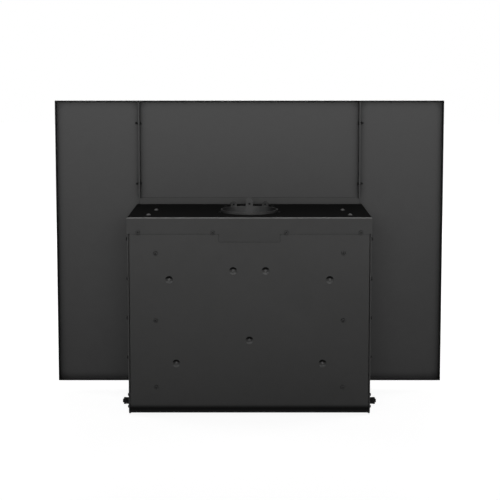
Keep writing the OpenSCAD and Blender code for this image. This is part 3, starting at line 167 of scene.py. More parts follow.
# skins: the relief, tone and flecks of one kind of surface
# a noise is given as (scale, detail, roughness, distortion), without the scale where Grain or
# Patch sets it
def skinEffect(name, grain, patch):
    return effect(name, {"Vector": None, "Grain": grain, "Patch": patch},
                  ("Height", "Tone", "Fleck"))


paintSkin = dict(fine=(2.0, 0.6), peel=(260.0, 2.0, 0.5), patch=(4.0, 0.6, 0.4),
                 smear=(24.0, 3.0, 0.6, 0.8), speck=(620.0, 1.0, 0.4), tone=(0.3, 0.7),
                 fleck=(0.66, 0.78))


def makePaintSkin():
    tree, takes, gives = skinEffect("paint skin", grain=900.0, patch=3.0)
    vector = takes["Vector"]
    fine = noise(tree, vector, takes["Grain"], *paintSkin["fine"])
    peel = noise(tree, vector, *paintSkin["peel"])
    height = shares(tree, (fine, 0.6), (peel, 0.4))
    patch = noise(tree, vector, takes["Patch"], *paintSkin["patch"])
    smear = noise(tree, vector, *paintSkin["smear"])
    tone = shares(tree, (patch, 0.65), (smear, 0.35))
    speck = noise(tree, vector, *paintSkin["speck"])
    wire(tree, height, gives["Height"])
    wire(tree, spread(tree, tone, *paintSkin["tone"]), gives["Tone"])
    wire(tree, spread(tree, speck, *paintSkin["fleck"]), gives["Fleck"])
    return tree


castSkin = dict(sand=(4.0, 0.7), lump=(70.0, 3.0, 0.5), pits=260.0, pit=(0.05, 0.3),
                patch=(4.0, 0.6, 0.5), tone=(0.32, 0.68), fleck=(0.62, 0.74))


def makeCastSkin():
    tree, takes, gives = skinEffect("cast skin", grain=420.0, patch=8.0)
    vector = takes["Vector"]
    sand = noise(tree, vector, takes["Grain"], *castSkin["sand"])
    lump = noise(tree, vector, *castSkin["lump"])
    pit = spread(tree, holes(tree, vector, castSkin["pits"]), *castSkin["pit"])
    height = shares(tree, (sand, 0.5), (lump, 0.3), (pit, 0.2))
    patch = noise(tree, vector, takes["Patch"], *castSkin["patch"])
    wire(tree, height, gives["Height"])
    wire(tree, spread(tree, patch, *castSkin["tone"]), gives["Tone"])
    wire(tree, spread(tree, sand, *castSkin["fleck"]), gives["Fleck"])
    return tree


brushedSkin = dict(stretch=(0.06, 1.0, 1.0), lines=(3.0, 0.6), fine=(900.0, 2.0, 0.6),
                   patch=(4.0, 0.6, 0.6), tone=(0.3, 0.7), fleck=(0.62, 0.76))


def makeBrushedSkin():
    tree, takes, gives = skinEffect("brushed skin", grain=160.0, patch=9.0)
    along = node(tree, "ShaderNodeMapping")
    along.inputs["Scale"].default_value = brushedSkin["stretch"]
    wire(tree, takes["Vector"], along.inputs["Vector"])
    vector = along.outputs["Vector"]
    lines = noise(tree, vector, takes["Grain"], *brushedSkin["lines"])
    fine = noise(tree, vector, *brushedSkin["fine"])
    patch = noise(tree, takes["Vector"], takes["Patch"], *brushedSkin["patch"])
    wire(tree, shares(tree, (lines, 0.5), (fine, 0.5)), gives["Height"])
    wire(tree, spread(tree, patch, *brushedSkin["tone"]), gives["Tone"])
    wire(tree, spread(tree, fine, *brushedSkin["fleck"]), gives["Fleck"])
    return tree


brickSkin = dict(grit=(4.0, 0.7), pores=210.0, pore=(0.08, 0.34), patch=(5.0, 0.65, 0.7),
                 tone=(0.3, 0.7), fleck=(0.16, 0.05))


def makeBrickSkin():
    tree, takes, gives = skinEffect("fired clay skin", grain=300.0, patch=12.0)
    vector = takes["Vector"]
    grit = noise(tree, vector, takes["Grain"], *brickSkin["grit"])
    pores = holes(tree, vector, brickSkin["pores"])
    pore = spread(tree, pores, *brickSkin["pore"])
    patch = noise(tree, vector, takes["Patch"], *brickSkin["patch"])
    wire(tree, shares(tree, (grit, 0.5), (pore, 0.5)), gives["Height"])
    wire(tree, spread(tree, patch, *brickSkin["tone"]), gives["Tone"])
    wire(tree, spread(tree, pores, *brickSkin["fleck"]), gives["Fleck"])
    return tree


fibreSkin = dict(strand=(5.0, 0.7, 2.4), cross=(640.0, 3.0, 0.6, 1.2), patch=(4.0, 0.6, 0.4),
                 tone=(0.3, 0.7), fleck=(0.56, 0.7))


def makeFibreSkin():
    tree, takes, gives = skinEffect("fibre skin", grain=220.0, patch=20.0)
    vector = takes["Vector"]
    strand = noise(tree, vector, takes["Grain"], *fibreSkin["strand"])
    cross = noise(tree, vector, *fibreSkin["cross"])
    patch = noise(tree, vector, takes["Patch"], *fibreSkin["patch"])
    wire(tree, shares(tree, (strand, 0.6), (cross, 0.4)), gives["Height"])
    wire(tree, spread(tree, patch, *fibreSkin["tone"]), gives["Tone"])
    wire(tree, spread(tree, strand, *fibreSkin["fleck"]), gives["Fleck"])
    return tree


# paint or scale rubbed off the edges, where the rounded normal leaves the flat one; on the flue
# collar it is turned up into a painted highlight along the rim
rubWearAndSheen = dict(samples=4, bare=(0.995, 0.86), broken=(55.0, 4.0, 0.65, 0.5), gaps=(0.4, 0.62))


def makeEdgeRubAndSheen():
    tree, takes, gives = effect("edge rub", {"Vector": None, "Radius": 0.001}, ("Edge", "Normal"))
    bevel = node(tree, "ShaderNodeBevel", samples=rubWearAndSheen["samples"])
    wire(tree, takes["Radius"], bevel.inputs["Radius"])
    flat = node(tree, "ShaderNodeNewGeometry")
    turn = node(tree, "ShaderNodeVectorMath", operation="DOT_PRODUCT")
    wire(tree, bevel.outputs["Normal"], turn.inputs[0])
    wire(tree, flat.outputs["Normal"], turn.inputs[1])
    bare = spread(tree, turn.outputs["Value"], *rubWearAndSheen["bare"])
    broken = noise(tree, takes["Vector"], *rubWearAndSheen["broken"])
    wire(tree, sums(tree, "MULTIPLY", bare, spread(tree, broken, *rubWearAndSheen["gaps"])), gives["Edge"])
    wire(tree, bevel.outputs["Normal"], gives["Normal"])
    return tree


# dust on the faces that look up; the top cover uses the same mask, even and near black, as painted
# shade on its top
dustAndTopShadeLook = dict(lying=(0.35, 0.95), cloud=(5.0, 0.7, 0.3), clouds=(0.35, 0.7),
                  powder=(380.0, 2.0, 0.6), grains=(0.3, 0.7))


def makeDustAndTopShade():
    tree, takes, gives = effect("dust fall", {"Vector": None, "Patch": 18.0, "Even": 0.0}, ("DustAndShade",))
    lying = spread(tree, facing(tree)["Z"], *dustAndTopShadeLook["lying"])
    cloud = noise(tree, takes["Vector"], takes["Patch"], *dustAndTopShadeLook["cloud"])
    powder = noise(tree, takes["Vector"], *dustAndTopShadeLook["powder"])
    coverage = sums(tree, "MULTIPLY", spread(tree, cloud, *dustAndTopShadeLook["clouds"]),
                   spread(tree, powder, *dustAndTopShadeLook["grains"]))
    coverage = sums(tree, "MAXIMUM", coverage, takes["Even"])
    wire(tree, sums(tree, "MULTIPLY", lying, coverage), gives["DustAndShade"])
    return tree


# painted shade in corners and recesses, from ambient occlusion
cornerShade = dict(samples=6, open=0.92, closed=0.35)


def makeCrevice():
    tree, takes, gives = effect("crevice", {"Reach": 0.02}, ("Crevice",))
    near = node(tree, "ShaderNodeAmbientOcclusion", samples=cornerShade["samples"])
    wire(tree, takes["Reach"], near.inputs["Distance"])
    wire(tree, spread(tree, near.outputs["AO"], cornerShade["open"], cornerShade["closed"]),
         gives["Crevice"])
    return tree


# folded sheet: a painted highlight on the upper bends, painted shade on the lower bends and near the
# bottom, on the sideways faces and on the sheet's rear ends; Foot is the height that the painted
# shade at the bottom starts from, Back the depth at which the sheet ends
paintedFoldLight = dict(bend=(0.1, 0.34), cloud=(14.0, 3.0, 0.6), even=(0.3, 0.6, 0.75, 1.0),
                  turnedDown=(0.0, -0.34), below=(0.0125, 0.0), side=(0.5, 0.9),
                  rearEnd=(-0.0006, -0.0002))


def makePaintedFoldLight():
    tree, takes, gives = effect("bend shine", {"Vector": None, "Foot": -1.0, "Back": 1.0},
                                ("Bend", "Under", "Side", "End"))
    face = facing(tree)
    turned = sums(tree, "MULTIPLY", face["Y"], face["Z"])
    cloud = noise(tree, takes["Vector"], *paintedFoldLight["cloud"])
    even = spread(tree, cloud, *paintedFoldLight["even"])
    # painted highlight on bends that turn up towards the back, evened by a cloud
    bendHighlight = spread(tree, turned, *paintedFoldLight["bend"])
    wire(tree, sums(tree, "MULTIPLY", bendHighlight, even), gives["Bend"])
    place = axes(tree, takes["Vector"])
    # painted shade on faces that turn down, and darker towards the bottom above Foot
    above = sums(tree, "SUBTRACT", place["Z"], takes["Foot"])
    below = spread(tree, above, *paintedFoldLight["below"])
    turnedDown = spread(tree, face["Z"], *paintedFoldLight["turnedDown"])
    wire(tree, sums(tree, "MAXIMUM", turnedDown, below), gives["Under"])
    # painted shade on sideways faces
    sideways = sums(tree, "ABSOLUTE", face["X"])
    wire(tree, spread(tree, sideways, *paintedFoldLight["side"]), gives["Side"])
    # painted shade on the sheet's rear ends
    behind = sums(tree, "SUBTRACT", place["Y"], takes["Back"])
    wire(tree, spread(tree, behind, *paintedFoldLight["rearEnd"]), gives["End"])
    return tree


skins = {"paint": makePaintSkin(), "cast": makeCastSkin(), "brushed": makeBrushedSkin(),
         "brick": makeBrickSkin(), "fibre": makeFibreSkin()}
edgeRubAndSheen = makeEdgeRubAndSheen()
dustAndTopShade = makeDustAndTopShade()
crevice = makeCrevice()
foldLight = makePaintedFoldLight()
print("effects made")


# finishes; fleck and the edge rub colour (wear, and on the flue collar a painted highlight) take the
# light colour where a finish doesn't name them
usualLook = dict(round=0.0008, reach=0.02, dustAndShadeEven=0.0, foot=-1.0, back=1.0, fleckAmount=0.3,
                 rubAndSheenAmount=0.5, dustAndShadeAmount=0.15, dustAndShade=(0.35, 0.33, 0.30), sootAndShade=0.4,
                 creviceShade=grey(0.008), dustRough=0.6, bump=0.3, depth=0.0002, metal=0.0,
                 specular=0.5)


def makeFinish(name, ownLook):
    look = {**usualLook, "fleck": ownLook["light"], "rubAndSheen": ownLook["light"], **ownLook}
    material, tree, shader = newMaterial(name)
    place = objectPlace(tree)
    skin = useEffect(tree, skins[look["skin"]], place,
                     {"Grain": look["grain"], "Patch": look["patch"]})
    rubAndSheen = useEffect(tree, edgeRubAndSheen, place, {"Radius": look["round"]})
    dustAndShade = useEffect(tree, dustAndTopShade, place, {"Even": look["dustAndShadeEven"]})
    recess = useEffect(tree, crevice, None, {"Reach": look["reach"]})

    colour = blendColours(tree, skin["Tone"], look["dark"], look["light"])
    fleck = sums(tree, "MULTIPLY", skin["Fleck"], look["fleckAmount"])
    colour = blendColours(tree, fleck, colour, look["fleck"])
    # edge wear; on the flue collar also a painted highlight on the rim
    wornAndSheen = sums(tree, "MULTIPLY", rubAndSheen["Edge"], look["rubAndSheenAmount"])
    colour = blendColours(tree, wornAndSheen, colour, look["rubAndSheen"])
    # dust on faces that look up; on the top cover, painted shade on the top plate
    lying = sums(tree, "MULTIPLY", dustAndShade["DustAndShade"], look["dustAndShadeAmount"])
    colour = blendColours(tree, lying, colour, look["dustAndShade"])
    # painted highlight on upper bends; painted shade on lower bends, sideways faces and rear ends
    if "bend" in look or "side" in look:
        foldMasks = useEffect(tree, foldLight, place, {"Foot": look["foot"], "Back": look["back"]})
        for mask in ("Bend", "Under", "Side", "End"):
            if mask.lower() in look:
                colour = blendColours(tree, foldMasks[mask], colour, look[mask.lower()])
    # painted shade in corners and recesses
    hidden = sums(tree, "MULTIPLY", recess["Crevice"], look["sootAndShade"])
    colour = blendColours(tree, hidden, colour, look["creviceShade"])
    wire(tree, colour, shader.inputs["Base Color"])

    rough = spread(tree, skin["Tone"], 0.0, 1.0, *look["rough"], smooth=False)
    dusty = sums(tree, "MULTIPLY", lying, look["dustRough"])
    rough = sums(tree, "ADD", rough, dusty, clamp=True)
    wire(tree, rough, shader.inputs["Roughness"])

    bump = node(tree, "ShaderNodeBump")
    bump.inputs["Strength"].default_value = look["bump"]
    bump.inputs["Distance"].default_value = look["depth"]
    wire(tree, skin["Height"], bump.inputs["Height"])
    wire(tree, rubAndSheen["Normal"], bump.inputs["Normal"])
    wire(tree, bump.outputs["Normal"], shader.inputs["Normal"])

    shader.inputs["Metallic"].default_value = look["metal"]
    shader.inputs["Specular IOR Level"].default_value = look["specular"]
    return material


sheetPaint = dict(skin="paint", grain=850, patch=2.6, fleck=grey(0.085), fleckAmount=0.25,
                  rubAndSheen=(0.12, 0.12, 0.118), rubAndSheenAmount=0.25, bump=0.22, dustAndShadeAmount=0.03)
screwHead = dict(skin="brushed", grain=300, patch=60, rubAndSheenAmount=0.4, round=0.0003, bump=0.2,
                 depth=0.0001)
finishes = {
    # side and end: painted shade on the sideways faces and on the rear ends of the lips
    "surround_steel": dict(sheetPaint, patch=2.2, dark=grey(0.057), light=grey(0.064),
                           rough=(0.46, 0.54), specular=0.12, sootAndShade=0.85, reach=0.025,
                           side=grey(0.018), end=grey(0.004), back=0.0),
    # bend: painted highlight on the upper bends; under: painted shade on faces that turn down
    "painted_steel": dict(sheetPaint, dark=(0.048, 0.048, 0.0475), light=(0.055, 0.055, 0.0545),
                          rough=(0.46, 0.54), specular=0.12, sootAndShade=0.95, reach=0.04,
                          bend=(0.13, 0.13, 0.129), under=grey(0.006)),
    # bend: painted highlight on the top bend and the dimples' lower walls; under: painted shade,
    # darker towards the bottom above foot
    "rear_steel": dict(sheetPaint, dark=(0.07, 0.07, 0.0695), light=(0.077, 0.077, 0.0765),
                       rough=(0.5, 0.58), specular=0.04, sootAndShade=0.95, reach=0.04,
                       bend=(0.13, 0.13, 0.129), under=grey(0.004), foot=0.0185),
    # bend: painted highlight on the bend line; under: painted shade below; its dark, even dust
    # colour is painted shade on the top plate
    "cover_steel": dict(sheetPaint, dark=(0.073, 0.073, 0.0725), light=(0.08, 0.08, 0.0795),
                        rough=(0.52, 0.62), specular=0.0, sootAndShade=0.35, reach=0.01,
                        bend=(0.215, 0.215, 0.213), under=grey(0.02),
                        dustAndShade=grey(0.015), dustAndShadeAmount=0.95, dustAndShadeEven=0.95),
    "black_screw": dict(screwHead, dark=grey(0.009), light=grey(0.017), rubAndSheen=grey(0.07),
                        rough=(0.5, 0.62), specular=0.05, dustAndShadeAmount=0.02),
    "painted_screw": dict(screwHead, skin="paint", grain=900, dark=(0.046, 0.046, 0.0455),
                          light=(0.055, 0.055, 0.0545), rubAndSheen=(0.12, 0.12, 0.118), rubAndSheenAmount=0.3,
                          rough=(0.46, 0.54), specular=0.12, dustAndShadeAmount=0.02, sootAndShade=0.9),
    "rubbed_screw": dict(screwHead, dark=(0.085, 0.085, 0.084), light=(0.115, 0.115, 0.113),
                         rubAndSheen=grey(0.18), rubAndSheenAmount=0.5, rough=(0.4, 0.52), specular=0.3,
                         sootAndShade=0.2),
    "bright_screw": dict(screwHead, dark=grey(0.05), light=(0.08, 0.08, 0.079), rubAndSheen=grey(0.13),
                         rough=(0.4, 0.55), metal=0.6, dustAndShadeAmount=0.05),
    "inner_steel": dict(skin="brushed", grain=90, patch=5, dark=grey(0.12), light=grey(0.2),
                        rubAndSheen=grey(0.4), rubAndSheenAmount=0.4, rough=(0.38, 0.55), bump=0.15, metal=0.8),
    "firebox_steel": dict(skin="paint", grain=600, patch=4, dark=(0.028, 0.027, 0.026),
                          light=(0.05, 0.048, 0.046), fleck=(0.09, 0.08, 0.07), fleckAmount=0.3,
                          rubAndSheen=(0.16, 0.15, 0.14), rubAndSheenAmount=0.5, rough=(0.5, 0.68), bump=0.35),
    "cast_black": dict(skin="cast", grain=420, patch=7, dark=grey(0.024), light=grey(0.042),
                       fleck=(0.075, 0.075, 0.072), rubAndSheen=(0.14, 0.14, 0.135), rubAndSheenAmount=0.45,
                       rough=(0.42, 0.58), round=0.0012, bump=0.45, depth=0.0004),
    # strong edge rub: painted highlight on the rim; side: painted shade at the collar's ends
    "collar_iron": dict(skin="cast", grain=420, patch=14, dark=grey(0.036), light=grey(0.056),
                        fleck=grey(0.08), rubAndSheen=(0.15, 0.15, 0.148), rubAndSheenAmount=0.8,
                        rough=(0.42, 0.56), round=0.0016, bump=0.35, depth=0.0003,
                        specular=0.2, dustAndShadeAmount=0.04, sootAndShade=0.12, side=grey(0.01)),
    "glass_tape": dict(skin="fibre", grain=320, patch=30, dark=grey(0.04), light=grey(0.1),
                       rough=(0.8, 0.95), bump=0.5, depth=0.0004, rubAndSheenAmount=0.0),
    "rope": dict(skin="fibre", grain=420, patch=16, dark=(0.36, 0.35, 0.32),
                 light=(0.56, 0.55, 0.51), fleck=(0.72, 0.71, 0.67), fleckAmount=0.5,
                 rough=(0.8, 0.95), bump=0.7, depth=0.0006, rubAndSheenAmount=0.0),
    "clip_steel": dict(skin="brushed", grain=160, patch=30, dark=(0.26, 0.26, 0.255),
                       light=(0.36, 0.36, 0.35), rough=(0.28, 0.42), bump=0.2, metal=1.0),
    "polished_steel": dict(skin="brushed", grain=200, patch=24, dark=(0.33, 0.33, 0.325),
                           light=(0.44, 0.44, 0.43), rough=(0.18, 0.3), bump=0.12, metal=1.0),
    "handle_steel": dict(skin="brushed", grain=140, patch=12, dark=(0.34, 0.335, 0.325),
                         light=(0.45, 0.445, 0.435), rough=(0.24, 0.36), bump=0.15, metal=1.0),
    "firebrick": dict(skin="brick", grain=320, patch=9, dark=(0.42, 0.33, 0.23),
                      light=(0.66, 0.56, 0.42), fleck=(0.22, 0.16, 0.11), fleckAmount=0.7,
                      rubAndSheen=(0.76, 0.68, 0.54), rubAndSheenAmount=0.7, rough=(0.8, 0.95), round=0.002,
                      bump=0.7, depth=0.0008, dustAndShade=(0.4, 0.38, 0.35), dustAndShadeAmount=0.4,
                      sootAndShade=0.9, reach=0.016, creviceShade=(0.07, 0.055, 0.04)),
    "baffle_board": dict(skin="brick", grain=500, patch=14, dark=(0.6, 0.56, 0.48),
                         light=(0.74, 0.7, 0.62), fleck=(0.5, 0.42, 0.26), fleckAmount=0.6,
                         rough=(0.8, 0.95), round=0.0012, bump=0.4, depth=0.0004,
                         sootAndShade=0.6, reach=0.016, creviceShade=(0.2, 0.18, 0.15)),
    "ceramic_wool": dict(skin="fibre", grain=150, patch=18, dark=(0.74, 0.74, 0.71),
                         light=(0.88, 0.88, 0.86), fleck=(0.95, 0.95, 0.94), fleckAmount=0.5,
                         rough=(0.9, 1.0), bump=0.8, depth=0.0015, rubAndSheenAmount=0.0),
    "tube_steel": dict(skin="brushed", grain=120, patch=16, dark=(0.24, 0.2, 0.19),
                       light=(0.42, 0.37, 0.3), fleck=(0.2, 0.22, 0.3), fleckAmount=0.4,
                       rough=(0.3, 0.45), bump=0.15, metal=1.0),
    "galvanised": dict(skin="brushed", grain=40, patch=46, dark=(0.4, 0.41, 0.43),
                       light=(0.58, 0.59, 0.6), rough=(0.3, 0.5), bump=0.12, metal=1.0),
    "motor_paint": dict(skin="paint", grain=700, patch=12, dark=grey(0.03),
                        light=grey(0.045), rough=(0.3, 0.42), bump=0.15),
    "black_plastic": dict(skin="cast", grain=900, patch=20, dark=grey(0.018), light=grey(0.03),
                          fleck=grey(0.04), rubAndSheen=grey(0.05), rubAndSheenAmount=0.3, rough=(0.45, 0.58),
                          bump=0.25, depth=0.0001),
    "black_rubber": dict(skin="cast", grain=700, patch=20, dark=grey(0.015), light=grey(0.028),
                         rubAndSheen=grey(0.04), rubAndSheenAmount=0.3, rough=(0.65, 0.8), bump=0.3,
                         depth=0.0001),
}


# the door's glass, hazed by smoke
stainedGlass = dict(clear=(0.93, 0.89, 0.80), sooty=(0.20, 0.16, 0.12), tint=0.35,
                    haze=(5.0, 5.0, 0.65, 0.9), hazy=(0.42, 0.8), smear=(60.0, 3.0, 0.6, 1.5),
                    smeared=(0.35, 0.75), sootiest=0.4, rough=(0.015, 0.12), ior=1.5)


def makeGlass():
    look = stainedGlass
    material, tree, shader = newMaterial("ceramic_glass")
    place = objectPlace(tree)
    haze = spread(tree, noise(tree, place, *look["haze"]), *look["hazy"])
    smear = spread(tree, noise(tree, place, *look["smear"]), *look["smeared"])
    streaks = sums(tree, "ADD", sums(tree, "MULTIPLY", smear, 0.5), 0.5)
    sootAndShade = sums(tree, "MULTIPLY", haze, streaks)
    sootAndShade = sums(tree, "MULTIPLY", sootAndShade, look["tint"])
    wire(tree, blendColours(tree, sootAndShade, look["clear"], look["sooty"]), shader.inputs["Base Color"])
    rough = spread(tree, sootAndShade, 0.0, look["sootiest"], *look["rough"])
    wire(tree, rough, shader.inputs["Roughness"])
    shader.inputs["Transmission Weight"].default_value = 1.0
    shader.inputs["IOR"].default_value = look["ior"]
    return material


made = {name: makeFinish(name, look) for name, look in finishes.items()}
made["ceramic_glass"] = makeGlass()
print("finishes made:", len(made))

finishOf = {
    "surround_steel": ["surround_left", "surround_right", "surround_top"],
    "black_screw": ["seam_screws", "surround_screws", "collar_bolts", "side_screws",
                    "leveller_clamp_bolts"],
    "painted_screw": ["cover_screws", "rear_panel_screws"],
    "rubbed_screw": ["dimple_screws"],
    "painted_steel": ["side_panel_left", "side_panel_right"],
    "rear_steel": ["rear_panel"],
    "cover_steel": ["top_cover"],
    "collar_iron": ["flue_collar"],
    "bright_screw": ["top_screws"],
    "inner_steel": ["leveller_brackets", "spacer_studs", "rear_rails", "base_pan", "air_box"],
    "polished_steel": ["leveller_left", "leveller_right", "hinge_pins", "latch_cam", "latch_strike",
                       "motor_shaft"],
    "firebox_steel": ["firebox_shell", "front_plate", "face_flange", "front_hood", "air_manifold"],
    "cast_black": ["cheek_left", "cheek_right", "outlet_louvre", "ash_lip", "door_frame",
                   "hinge_brackets", "log_retainer", "blower_grille"],
    "ceramic_glass": ["door_glass"],
    "glass_tape": ["glass_gasket"],
    "clip_steel": ["glass_retainers"],
    "rope": ["rope_gasket"],
    "handle_steel": ["door_handle", "air_rod"],
    "firebrick": ["brick_floor", "brick_sides", "brick_rear"],
    "baffle_board": ["baffle_boards"],
    "ceramic_wool": ["baffle_blanket"],
    "tube_steel": ["air_tubes", "air_damper"],
    "galvanised": ["blower_housing", "impellers"],
    "motor_paint": ["blower_motor"],
    "black_plastic": ["blower_controls", "speed_knob"],
    "black_rubber": ["power_inlet"],
}
for finish, names in finishOf.items():
    for name in names:
        for slot in solids[name].material_slots:
            slot.material = made[finish]
print("finishes placed")


# helpers for modelling
def clearPick():
    if bpy.context.mode != "OBJECT":
        bpy.ops.object.mode_set(mode="OBJECT")
    bpy.ops.object.select_all(action="DESELECT")


def pickOnly(piece):
    clearPick()
    piece.select_set(True)
    bpy.context.view_layer.objects.active = piece


def applyPlace(piece):
    pickOnly(piece)
    bpy.ops.object.transform_apply(location=True, rotation=True, scale=True)


def applyModifiers(piece):
    pickOnly(piece)
    for modifier in list(piece.modifiers):
        bpy.ops.object.modifier_apply(modifier=modifier.name)


def editAll():  # opens the picked piece with everything in it selected
    bpy.ops.object.mode_set(mode="EDIT")
    bpy.ops.mesh.select_all(action="SELECT")


def closeEdit():
    bpy.ops.object.mode_set(mode="OBJECT")


def pickParts(piece, kind, test):  # selects the edges or faces whose corners all pass the test
    pickOnly(piece)
    bpy.ops.object.mode_set(mode="EDIT")
    bpy.ops.mesh.select_mode(type=kind)
    bpy.ops.mesh.select_all(action="DESELECT")
    closeEdit()
    mesh = piece.data
    for part in (mesh.edges if kind == "EDGE" else mesh.polygons):
        part.select = all(test(mesh.vertices[index].co) for index in part.vertices)
    bpy.ops.object.mode_set(mode="EDIT")


def joinPieces(pieces, name):
    clearPick()
    for piece in pieces:
        piece.select_set(True)
    bpy.context.view_layer.objects.active = pieces[0]
    bpy.ops.object.join()
    pieces[0].name = pieces[0].data.name = name
    return pieces[0]


def middle(low, high):
    return [(a + b) / 2 for a, b in zip(low, high)]


# braided rope seal of the door
ropeSeal = dict(strands=4, strandR=0.0017, strandSides=6, layR=0.0036, pitch=0.036, step=0.0022,
                corner=0.018, cornerSteps=8, merge=0.00005)


def makeRopeRoute():
    low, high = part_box("rope_gasket")
    ropeR = (high[1] - low[1]) / 2
    clearPick()
    bpy.ops.mesh.primitive_plane_add(size=1, location=middle(low, high),
                                     rotation=(math.radians(90), 0, 0))
    route = bpy.context.object
    route.name = "rope_route"
    route.scale = (high[0] - low[0] - 2 * ropeR, high[2] - low[2] - 2 * ropeR, 1)
    applyPlace(route)
    editAll()
    bpy.ops.mesh.delete(type="ONLY_FACE")
    bpy.ops.mesh.select_all(action="SELECT")
    bpy.ops.mesh.bevel(offset=ropeSeal["corner"], segments=ropeSeal["cornerSteps"],
                       affect="VERTICES")
    closeEdit()
    bpy.ops.object.convert(target="CURVE")
    applyPlace(route)
    return route


def addStrand(angle, hand, length, turns):  # one strand, laid straight along X
    look = ropeSeal
    clearPick()
    spot = (0, look["layR"] * math.cos(angle), look["layR"] * math.sin(angle))
    bpy.ops.mesh.primitive_circle_add(vertices=look["strandSides"], radius=look["strandR"],
                                      location=spot, rotation=(0, math.radians(90), 0))
    strand = bpy.context.object
    applyPlace(strand)
    lay = strand.modifiers.new("lay", "SCREW")
    lay.axis = "X"
    lay.angle = hand * 2 * math.pi * turns
    lay.screw_offset = length
    lay.steps = lay.render_steps = int(length / look["step"])
    lay.use_smooth_shade = True
    applyModifiers(strand)
    return strand


def makeRope():
    look = ropeSeal
    route = makeRopeRoute()
    length = route.data.splines[0].calc_length()
    turns = round(length / look["pitch"])
    strands = []
    for hand in (1, -1):  # half of the strands wind the other way, half a step along
        for index in range(look["strands"]):
            angle = 2 * math.pi * (index + (0.5 if hand < 0 else 0)) / look["strands"]
            strands.append(addStrand(angle, hand, length, turns))
    rope = joinPieces(strands, "braided_rope")
    bend = rope.modifiers.new("bend", "CURVE")
    bend.object = route
    bend.deform_axis = "POS_X"
    applyModifiers(rope)
    editAll()
    bpy.ops.mesh.remove_doubles(threshold=look["merge"])
    bpy.ops.mesh.normals_make_consistent(inside=False)
    closeEdit()
    bpy.data.objects.remove(route)
    rope.data.materials.append(made["rope"])
    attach(rope, "door")
    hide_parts("rope_gasket")


# fibre blanket on the baffle
fibreMat = dict(cuts=26, lump=0.0016, lumpSeed=4, soften=0.5, inset=0.0012, edge=0.003,
                edgeSteps=2)


def makeBlanket():
    look = fibreMat
    low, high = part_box("baffle_blanket")
    clearPick()
    bpy.ops.mesh.primitive_cube_add(size=1, location=middle(low, high))
    mat = bpy.context.object
    mat.scale = [b - a - 2 * look["inset"] for a, b in zip(low, high)]
    applyPlace(mat)
    editAll()
    bpy.ops.mesh.bevel(offset=look["edge"], segments=look["edgeSteps"], affect="EDGES")
    bpy.ops.mesh.select_all(action="SELECT")
    bpy.ops.mesh.subdivide(number_cuts=look["cuts"])
    bpy.ops.transform.vertex_random(offset=look["lump"], uniform=0.0, normal=1.0,
                                    seed=look["lumpSeed"])
    bpy.ops.mesh.vertices_smooth(factor=look["soften"], repeat=1)
    closeEdit()
    bpy.ops.object.shade_smooth()
    mat.name = mat.data.name = "fibre_blanket"
    mat.data.materials.append(made["ceramic_wool"])
    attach(mat, "insert")
    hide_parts("baffle_blanket")


# turned and wound parts along X
def addDrum(sides, radius, start, end):  # a closed prism
    clearPick()
    bpy.ops.mesh.primitive_cylinder_add(vertices=sides, radius=radius, depth=end - start,
                                        location=((start + end) / 2, 0, 0),
                                        rotation=(0, math.radians(90), 0))
    drum = bpy.context.object
    applyPlace(drum)
    return drum


def atEnd(x, slack=1e-5):  # a test for the corners in the plane at x
    return lambda spot: abs(spot.x - x) < slack


def breakEnd(drum, x, width, steps=1):  # rounds the rim at x
    pickParts(drum, "EDGE", atEnd(x))
    bpy.ops.mesh.bevel(offset=width, segments=steps)
    closeEdit()


def addSpiral(radius, start, end, pitch, wireR, sides, steps):  # a wire wound round X
    turns = int((end - start) / pitch)
    clearPick()
    bpy.ops.mesh.primitive_circle_add(vertices=sides, radius=wireR, location=(start, 0, radius),
                                      rotation=(math.radians(90), 0, 0))
    spiral = bpy.context.object
    applyPlace(spiral)
    wind = spiral.modifiers.new("wind", "SCREW")
    wind.axis = "X"
    wind.angle = 2 * math.pi * turns
    wind.screw_offset = pitch * turns
    wind.steps = wind.render_steps = steps * turns
    applyModifiers(spiral)
    editAll()
    bpy.ops.mesh.fill_holes(sides=sides)
    bpy.ops.mesh.select_all(action="SELECT")
    bpy.ops.mesh.normals_make_consistent(inside=False)
    closeEdit()
    return spiral


# seam screws of the surround: a socket head inside, a nut and bare thread outside
seamScrew = dict(sheet=0.002, sides=24, headR=0.0044, headH=0.0032, headRound=0.0013,
                 headSteps=3, socketR=0.0017, socketDepth=0.0016, washerR=0.005,
                 washerH=0.0008, washerEdge=0.0002, nutR=0.0046, nutH=0.0034, nutEdge=0.0004,
                 shankR=0.0019, shankSides=16, tip=0.0044, tipEdge=0.0004, pitch=0.0009,
                 ridge=0.0004, ridgeSides=3, ridgeSteps=12, fromHead=0.004, headEdge=0.0055,
                 smooth=35)


def makeSeamScrew():
    look = seamScrew
    face = -look["sheet"] - look["headH"]
    washerX = look["sheet"] + look["washerH"]
    nutX = washerX + look["nutH"]
    tipX = nutX + look["tip"]
    head = addDrum(look["sides"], look["headR"], face, -look["sheet"])
    breakEnd(head, face, look["headRound"], look["headSteps"])
    pickParts(head, "FACE", atEnd(face))
    bpy.ops.mesh.inset(thickness=look["headR"] - look["headRound"] - look["socketR"])
    bpy.ops.mesh.extrude_region_move(
        TRANSFORM_OT_translate={"value": (look["socketDepth"], 0, 0)})
    closeEdit()
    washer = addDrum(look["sides"], look["washerR"], look["sheet"], washerX)
    breakEnd(washer, washerX, look["washerEdge"])
    nut = addDrum(6, look["nutR"], washerX, nutX)
    breakEnd(nut, nutX, look["nutEdge"])
    shank = addDrum(look["shankSides"], look["shankR"], -look["sheet"], tipX)
    breakEnd(shank, tipX, look["tipEdge"])
    thread = addSpiral(look["shankR"], nutX, tipX - look["tipEdge"], look["pitch"],
                       look["ridge"], look["ridgeSides"], look["ridgeSteps"])
    return joinPieces([head, washer, nut, shank, thread], "seam_screw")


